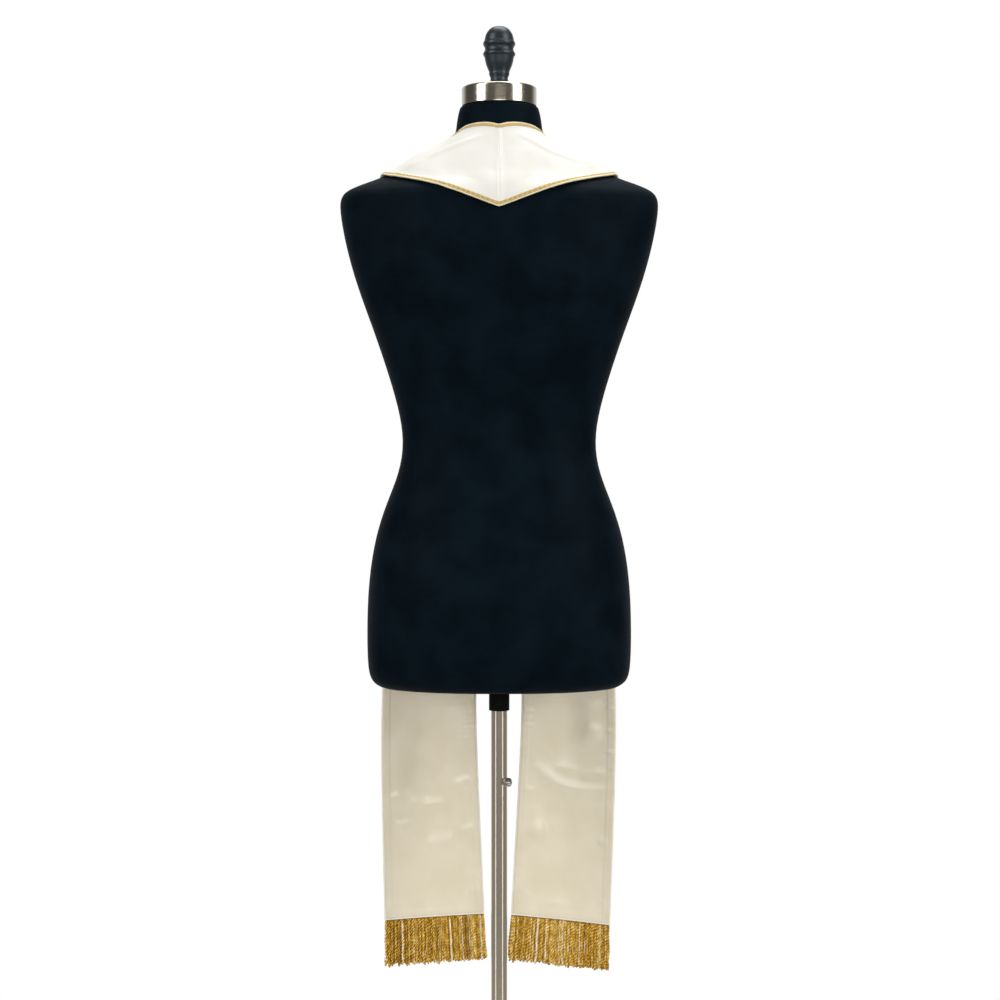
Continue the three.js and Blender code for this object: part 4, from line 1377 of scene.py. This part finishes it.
# %% Gold braid and bullion
def gilt(name, colors, metallic, roughness, wind_mm):
    """Gilt thread. colors are (stop, sRGB hex) for the piece's own shade, from 0 to 1."""
    made, tree, shader = new_material(name, colors[0][1], Metallic=metallic, Sheen_Weight=0.05)
    shade = add(tree, "ShaderNodeAttribute", attribute_name="shade")
    place = add(tree, "ShaderNodeTexCoord")
    winding = add(tree, "ShaderNodeTexNoise", {
        "Vector": place.outputs["Object"], "Scale": 1 / (wind_mm * MM), "Detail": 2.0,
        "Roughness": 0.6,
    }).outputs["Fac"]
    wander = add(tree, "ShaderNodeMapRange", {
        "Value": winding, "From Min": 0.25, "From Max": 0.75, "To Min": -0.2, "To Max": 0.2,
    })
    varied = add(tree, "ShaderNodeMath", {
        0: shade.outputs["Fac"], 1: wander.outputs[0],
    }, operation="ADD")
    shape_surface(tree, shader, varied.outputs[0], tint=colors)
    shape_surface(
        tree, shader, winding, relief=(0.5, 0.2),
        gloss=((0.3, roughness - 0.1), (0.7, roughness + 0.12)),
    )
    return made


braid_gold = gilt(
    "gilt_braid_thread", ((0.0, "#cdae6c"), (0.45, "#ecd8a4"), (1.0, "#fff6cc")), 0.08, 0.4, 0.7,
)
for (name, edge), piece in braids.items():
    smooth(piece, 60)
    dress(piece, braid_gold, "form", "gold_braid", f"braid_{edge}_{name}")

# %% [markdown]
# ## Stitches
#
# A row of machine stitches closes the hem, 3 mm above its edge, on both sides. Along the long
# edges the lining is slipped by hand to the turned face, with short stitches 6 mm apart. All are
# of cream polyester thread, whose twist varies its colour.

# %% Sew the hem and the lining's edge
THREAD_UNDER, THREAD_OVER = -0.43, 2.36  # heights of a stitch on the lining and on the face
HEM_STITCH, HEM_STITCH_STEP, HEM_STITCH_UP = (2.3, 0.62, 0.34), 3.4, 3.2
HEM_START, HEM_END, BRAID_CLEAR = 3.2, 2.6, 7.5  # on the face, stitches stop at the braid
SLIP_STITCH, SLIP_STITCH_STEP, SLIP_SLANT = (1.6, 0.45, 0.25), 6.0, 0.35
SLIP_IN, SLIP_START, SLIP_END = 2.7, 6, 8


def hem_columns(surface, from_neck):
    return np.interp(from_neck, surface["from_neck"][-1], np.arange(surface["points"].shape[1]))


def stitch_parts(surface):
    length, width = surface["along"][-1], surface["from_neck"][-1, -1]
    across = np.arange(HEM_START, width - HEM_END, HEM_STITCH_STEP)
    on_face = across[(across > BRAID_CLEAR) & (across < width - BRAID_CLEAR)]
    stitch, parts = bead(*HEM_STITCH), []
    for lift, side, middles in ((THREAD_UNDER, -1, across), (THREAD_OVER, 1, on_face)):
        columns = hem_columns(surface, middles[:, None] + stitch[0][:, 0])
        up = length - HEM_STITCH_UP + stitch[0][:, 1]
        parts.append(bead_row(surface, stitch, up, columns, lift, side))
    stitch = bead(*SLIP_STITCH, SLIP_SLANT)
    along = np.arange(SLIP_START, length - SLIP_END, SLIP_STITCH_STEP)[:, None] + stitch[0][:, 0]
    for edge in ("inner", "outer"):
        columns = in_from(surface, edge, SLIP_IN + stitch[0][:, 1])
        parts.append(bead_row(surface, stitch, along, columns, THREAD_UNDER, -1))
    return parts


polyester = grained(
    "cream_polyester_thread", "#e9e2cf", 0.4, tint=((0.0, "#cfc7b2"), (1.0, "#f4eedd")),
    Roughness=0.5, Sheen_Weight=0.2,
)
stitches = {}
for name, surface in surfaces.items():
    stitches[name] = joined(f"stitches_{name}", stitch_parts(surface))
    smooth(stitches[name], 60)
    dress(stitches[name], polyester, "form", "lining_satin")

# %% [markdown]
# ## Bullion fringe
#
# Each strand is a loop of gilt cord doubled and twisted on itself, so it has two plies and a
# rounded end. The heading is caught in the hem seam, so a strand starts inside the hem and hangs
# on in the direction that the cloth has there.

# %% Find the way down and out at the hem
STRANDS, STRAND_RADIUS, STRAND_PITCH, STRAND_STEP = 116, 1.75, 8.6, 0.95
FRINGE_LENGTH, FRINGE_FLARE, FRINGE_END = 60.3, 1.5, 1.4  # the last rounds off each end
FRINGE_TUCK = 1.0  # how far each strand runs up inside the hem
ROOT_LIFT, ROOT_RADIUS, ROOT_REACH = 1.0, 1.1, 3.5  # strands are squeezed together in the seam
ROOT_INSET, HEM_LOOK = 1.2, 30  # in from the hem's ends, and how far up the way down is read


def hem_frame(surface, share):
    """A place a share of the way across the hem, with the ways down, across and out."""
    width, hem = surface["from_neck"][-1, -1], surface["along"][-1]
    column = hem_columns(surface, ROOT_INSET + share * (width - 2 * ROOT_INSET))
    root = on_band(surface, hem, column, ROOT_LIFT)
    below = root - on_band(surface, hem - HEM_LOOK, column, ROOT_LIFT)
    ahead = on_band(surface, hem, column + 1, ROOT_LIFT) - root
    below, ahead = below / np.linalg.norm(below), ahead / np.linalg.norm(ahead)
    return root - below * FRINGE_TUCK, below, ahead, np.cross(below, ahead)


print("the left fringe hangs from", hem_frame(surfaces["left"], 0.5)[0].round().tolist(), "mm")

# %% [markdown]
# A strand's middle line bows, tilts and waves by small seeded amounts, and its cord is spun round
# that line. Its colour is painted darker in the hollow between the plies and lighter on their
# crests, as painted shade and highlight, and painted darker where it leaves the seam, as painted
# shadow. Its colour also wanders along the strand where the gilt is worn.

# %% Twist one strand
BOW, TILT, SWAY, SHORT_SWAY, PROUD, PROUD_SWAY = 0.5, 0.5, (0.3, 0.9), 0.3, 0.6, 0.4
SWAYS, SHORT_SWAYS, WORN_PATCHES = (1.2, 2.6), (5, 9), (2, 5)  # how many in a strand
RADIUS_SPREAD, PITCH_SPREAD = (0.9, 1.1), (0.85, 1.15)
# The second and third numbers are painted light: a painted shadow where a strand leaves the seam,
# and painted shade in the hollow between the plies with a painted highlight on their crests
WORN_SHADE, ROOT_PAINTED_SHADOW, PLY_PAINTED_SHADE_AND_HIGHLIGHT, PLY_MIDDLE = 0.16, 0.5, 0.8, 0.7


def strand(surface, share, lift, length, shade, rng):
    """One strand: the points and faces of its cord, and their shades."""
    start, below, ahead, out = hem_frame(surface, share)
    full = length + FRINGE_TUCK
    down = np.linspace(0, 1, int(full / STRAND_STEP))
    run = down * full
    bow, tilt = rng.normal(0, BOW), rng.normal(0, TILT)
    sway, phase = rng.uniform(*SWAY), rng.uniform(0, 2 * math.pi, 2)

    def wave(times, start):
        return np.sin(2 * math.pi * down * times + start)

    aside = down * ((2 * share - 1) * FRINGE_FLARE + tilt) + bow * np.sin(math.pi * down)
    aside += sway * wave(rng.uniform(*SWAYS), phase[0]) * down
    aside += SHORT_SWAY * wave(rng.uniform(*SHORT_SWAYS), phase[1]) * down
    freed = np.clip((run - FRINGE_TUCK) / ROOT_REACH, 0, 1)
    freed = freed * freed * (3 - 2 * freed)
    proud = rng.normal(0, PROUD) * down + PROUD_SWAY * wave(2, phase[1]) * down
    proud += (lift - ROOT_LIFT) * freed
    middle = start + below * run[:, None] + ahead * aside[:, None] + out * proud[:, None]
    radius = ROOT_RADIUS + (STRAND_RADIUS * rng.uniform(*RADIUS_SPREAD) - ROOT_RADIUS) * freed
    radius = radius * np.sqrt(np.clip((full - run) / FRINGE_END, 0.05, 1))
    pitch = STRAND_PITCH * rng.uniform(*PITCH_SPREAD)
    across, up, crest = two_lobes(run, radius, pitch, rng.uniform(0, math.pi))
    points = middle[:, None] + ahead * across[..., None] + out * up[..., None]
    worn = WORN_SHADE * wave(rng.uniform(*WORN_PATCHES), phase[0])
    # Painted shade in the ply hollows and where the strand leaves the seam, and a painted highlight
    # on the ply crests
    shades = (shade + worn + ROOT_PAINTED_SHADOW * (freed - 1))[:, None] + PLY_PAINTED_SHADE_AND_HIGHLIGHT * (crest - PLY_MIDDLE)
    return points.reshape(-1, 3), tube_faces(len(down), CORD_SIDES), shades.ravel()


# %% [markdown]
# The strands hang side by side from one end of the hem to the other, at four depths in turn.
# Each has its own length and shade, and every few strands one is of paler gilt.

# %% Hang the fringe
DEPTHS, DEPTH_SPREAD, SHARE_SPREAD = (-0.5, 2.3, 0.9, 2.9), 0.4, 0.2
LENGTH_SPREAD = 1.4
GILT_SHADES, PALE_SHADES = (0.12, 0.58), (0.72, 0.95)
FIRST_PALE, PALE_GAP = 4, (3, 11)  # the first pale strand, and the steps to the next


def fringe(surface):
    rng = np.random.default_rng(surface["side"]["fringe_seed"])
    parts, pale = [], FIRST_PALE
    for k in range(STRANDS):
        share = (k + rng.uniform(-SHARE_SPREAD, SHARE_SPREAD)) / (STRANDS - 1)
        lift = DEPTHS[k % len(DEPTHS)] + rng.uniform(-DEPTH_SPREAD, DEPTH_SPREAD)
        shade = rng.uniform(*(PALE_SHADES if k == pale else GILT_SHADES))
        if k == pale:
            pale += rng.integers(*PALE_GAP)
        length = FRINGE_LENGTH + rng.normal(0, LENGTH_SPREAD)
        parts.append(strand(surface, min(max(share, 0), 1), lift, length, shade, rng))
    return parts


bullion_gold = gilt(
    "gilt_bullion_cord",
    ((0.0, "#8c620c"), (0.3, "#d29c20"), (0.65, "#f6cf54"), (1.0, "#fbf6e4")), 0.4, 0.3, 1.1,
)
fringes = {}
for name, surface in surfaces.items():
    fringes[name] = joined(f"bullion_fringe_{name}", fringe(surface))
    smooth(fringes[name], 70)
    dress(fringes[name], bullion_gold, "form", "gold_bullion", f"fringe_{name}")

# %% [markdown]
# ## What the cloth was cut from
#
# Each band is one sheet, cut 124 mm wide and 1190 mm long, with its lining cut to match. They are
# draped over the shoulders and rest on the form.

print("sheets:", [piece.name for piece in (*faces.values(), *linings.values())])
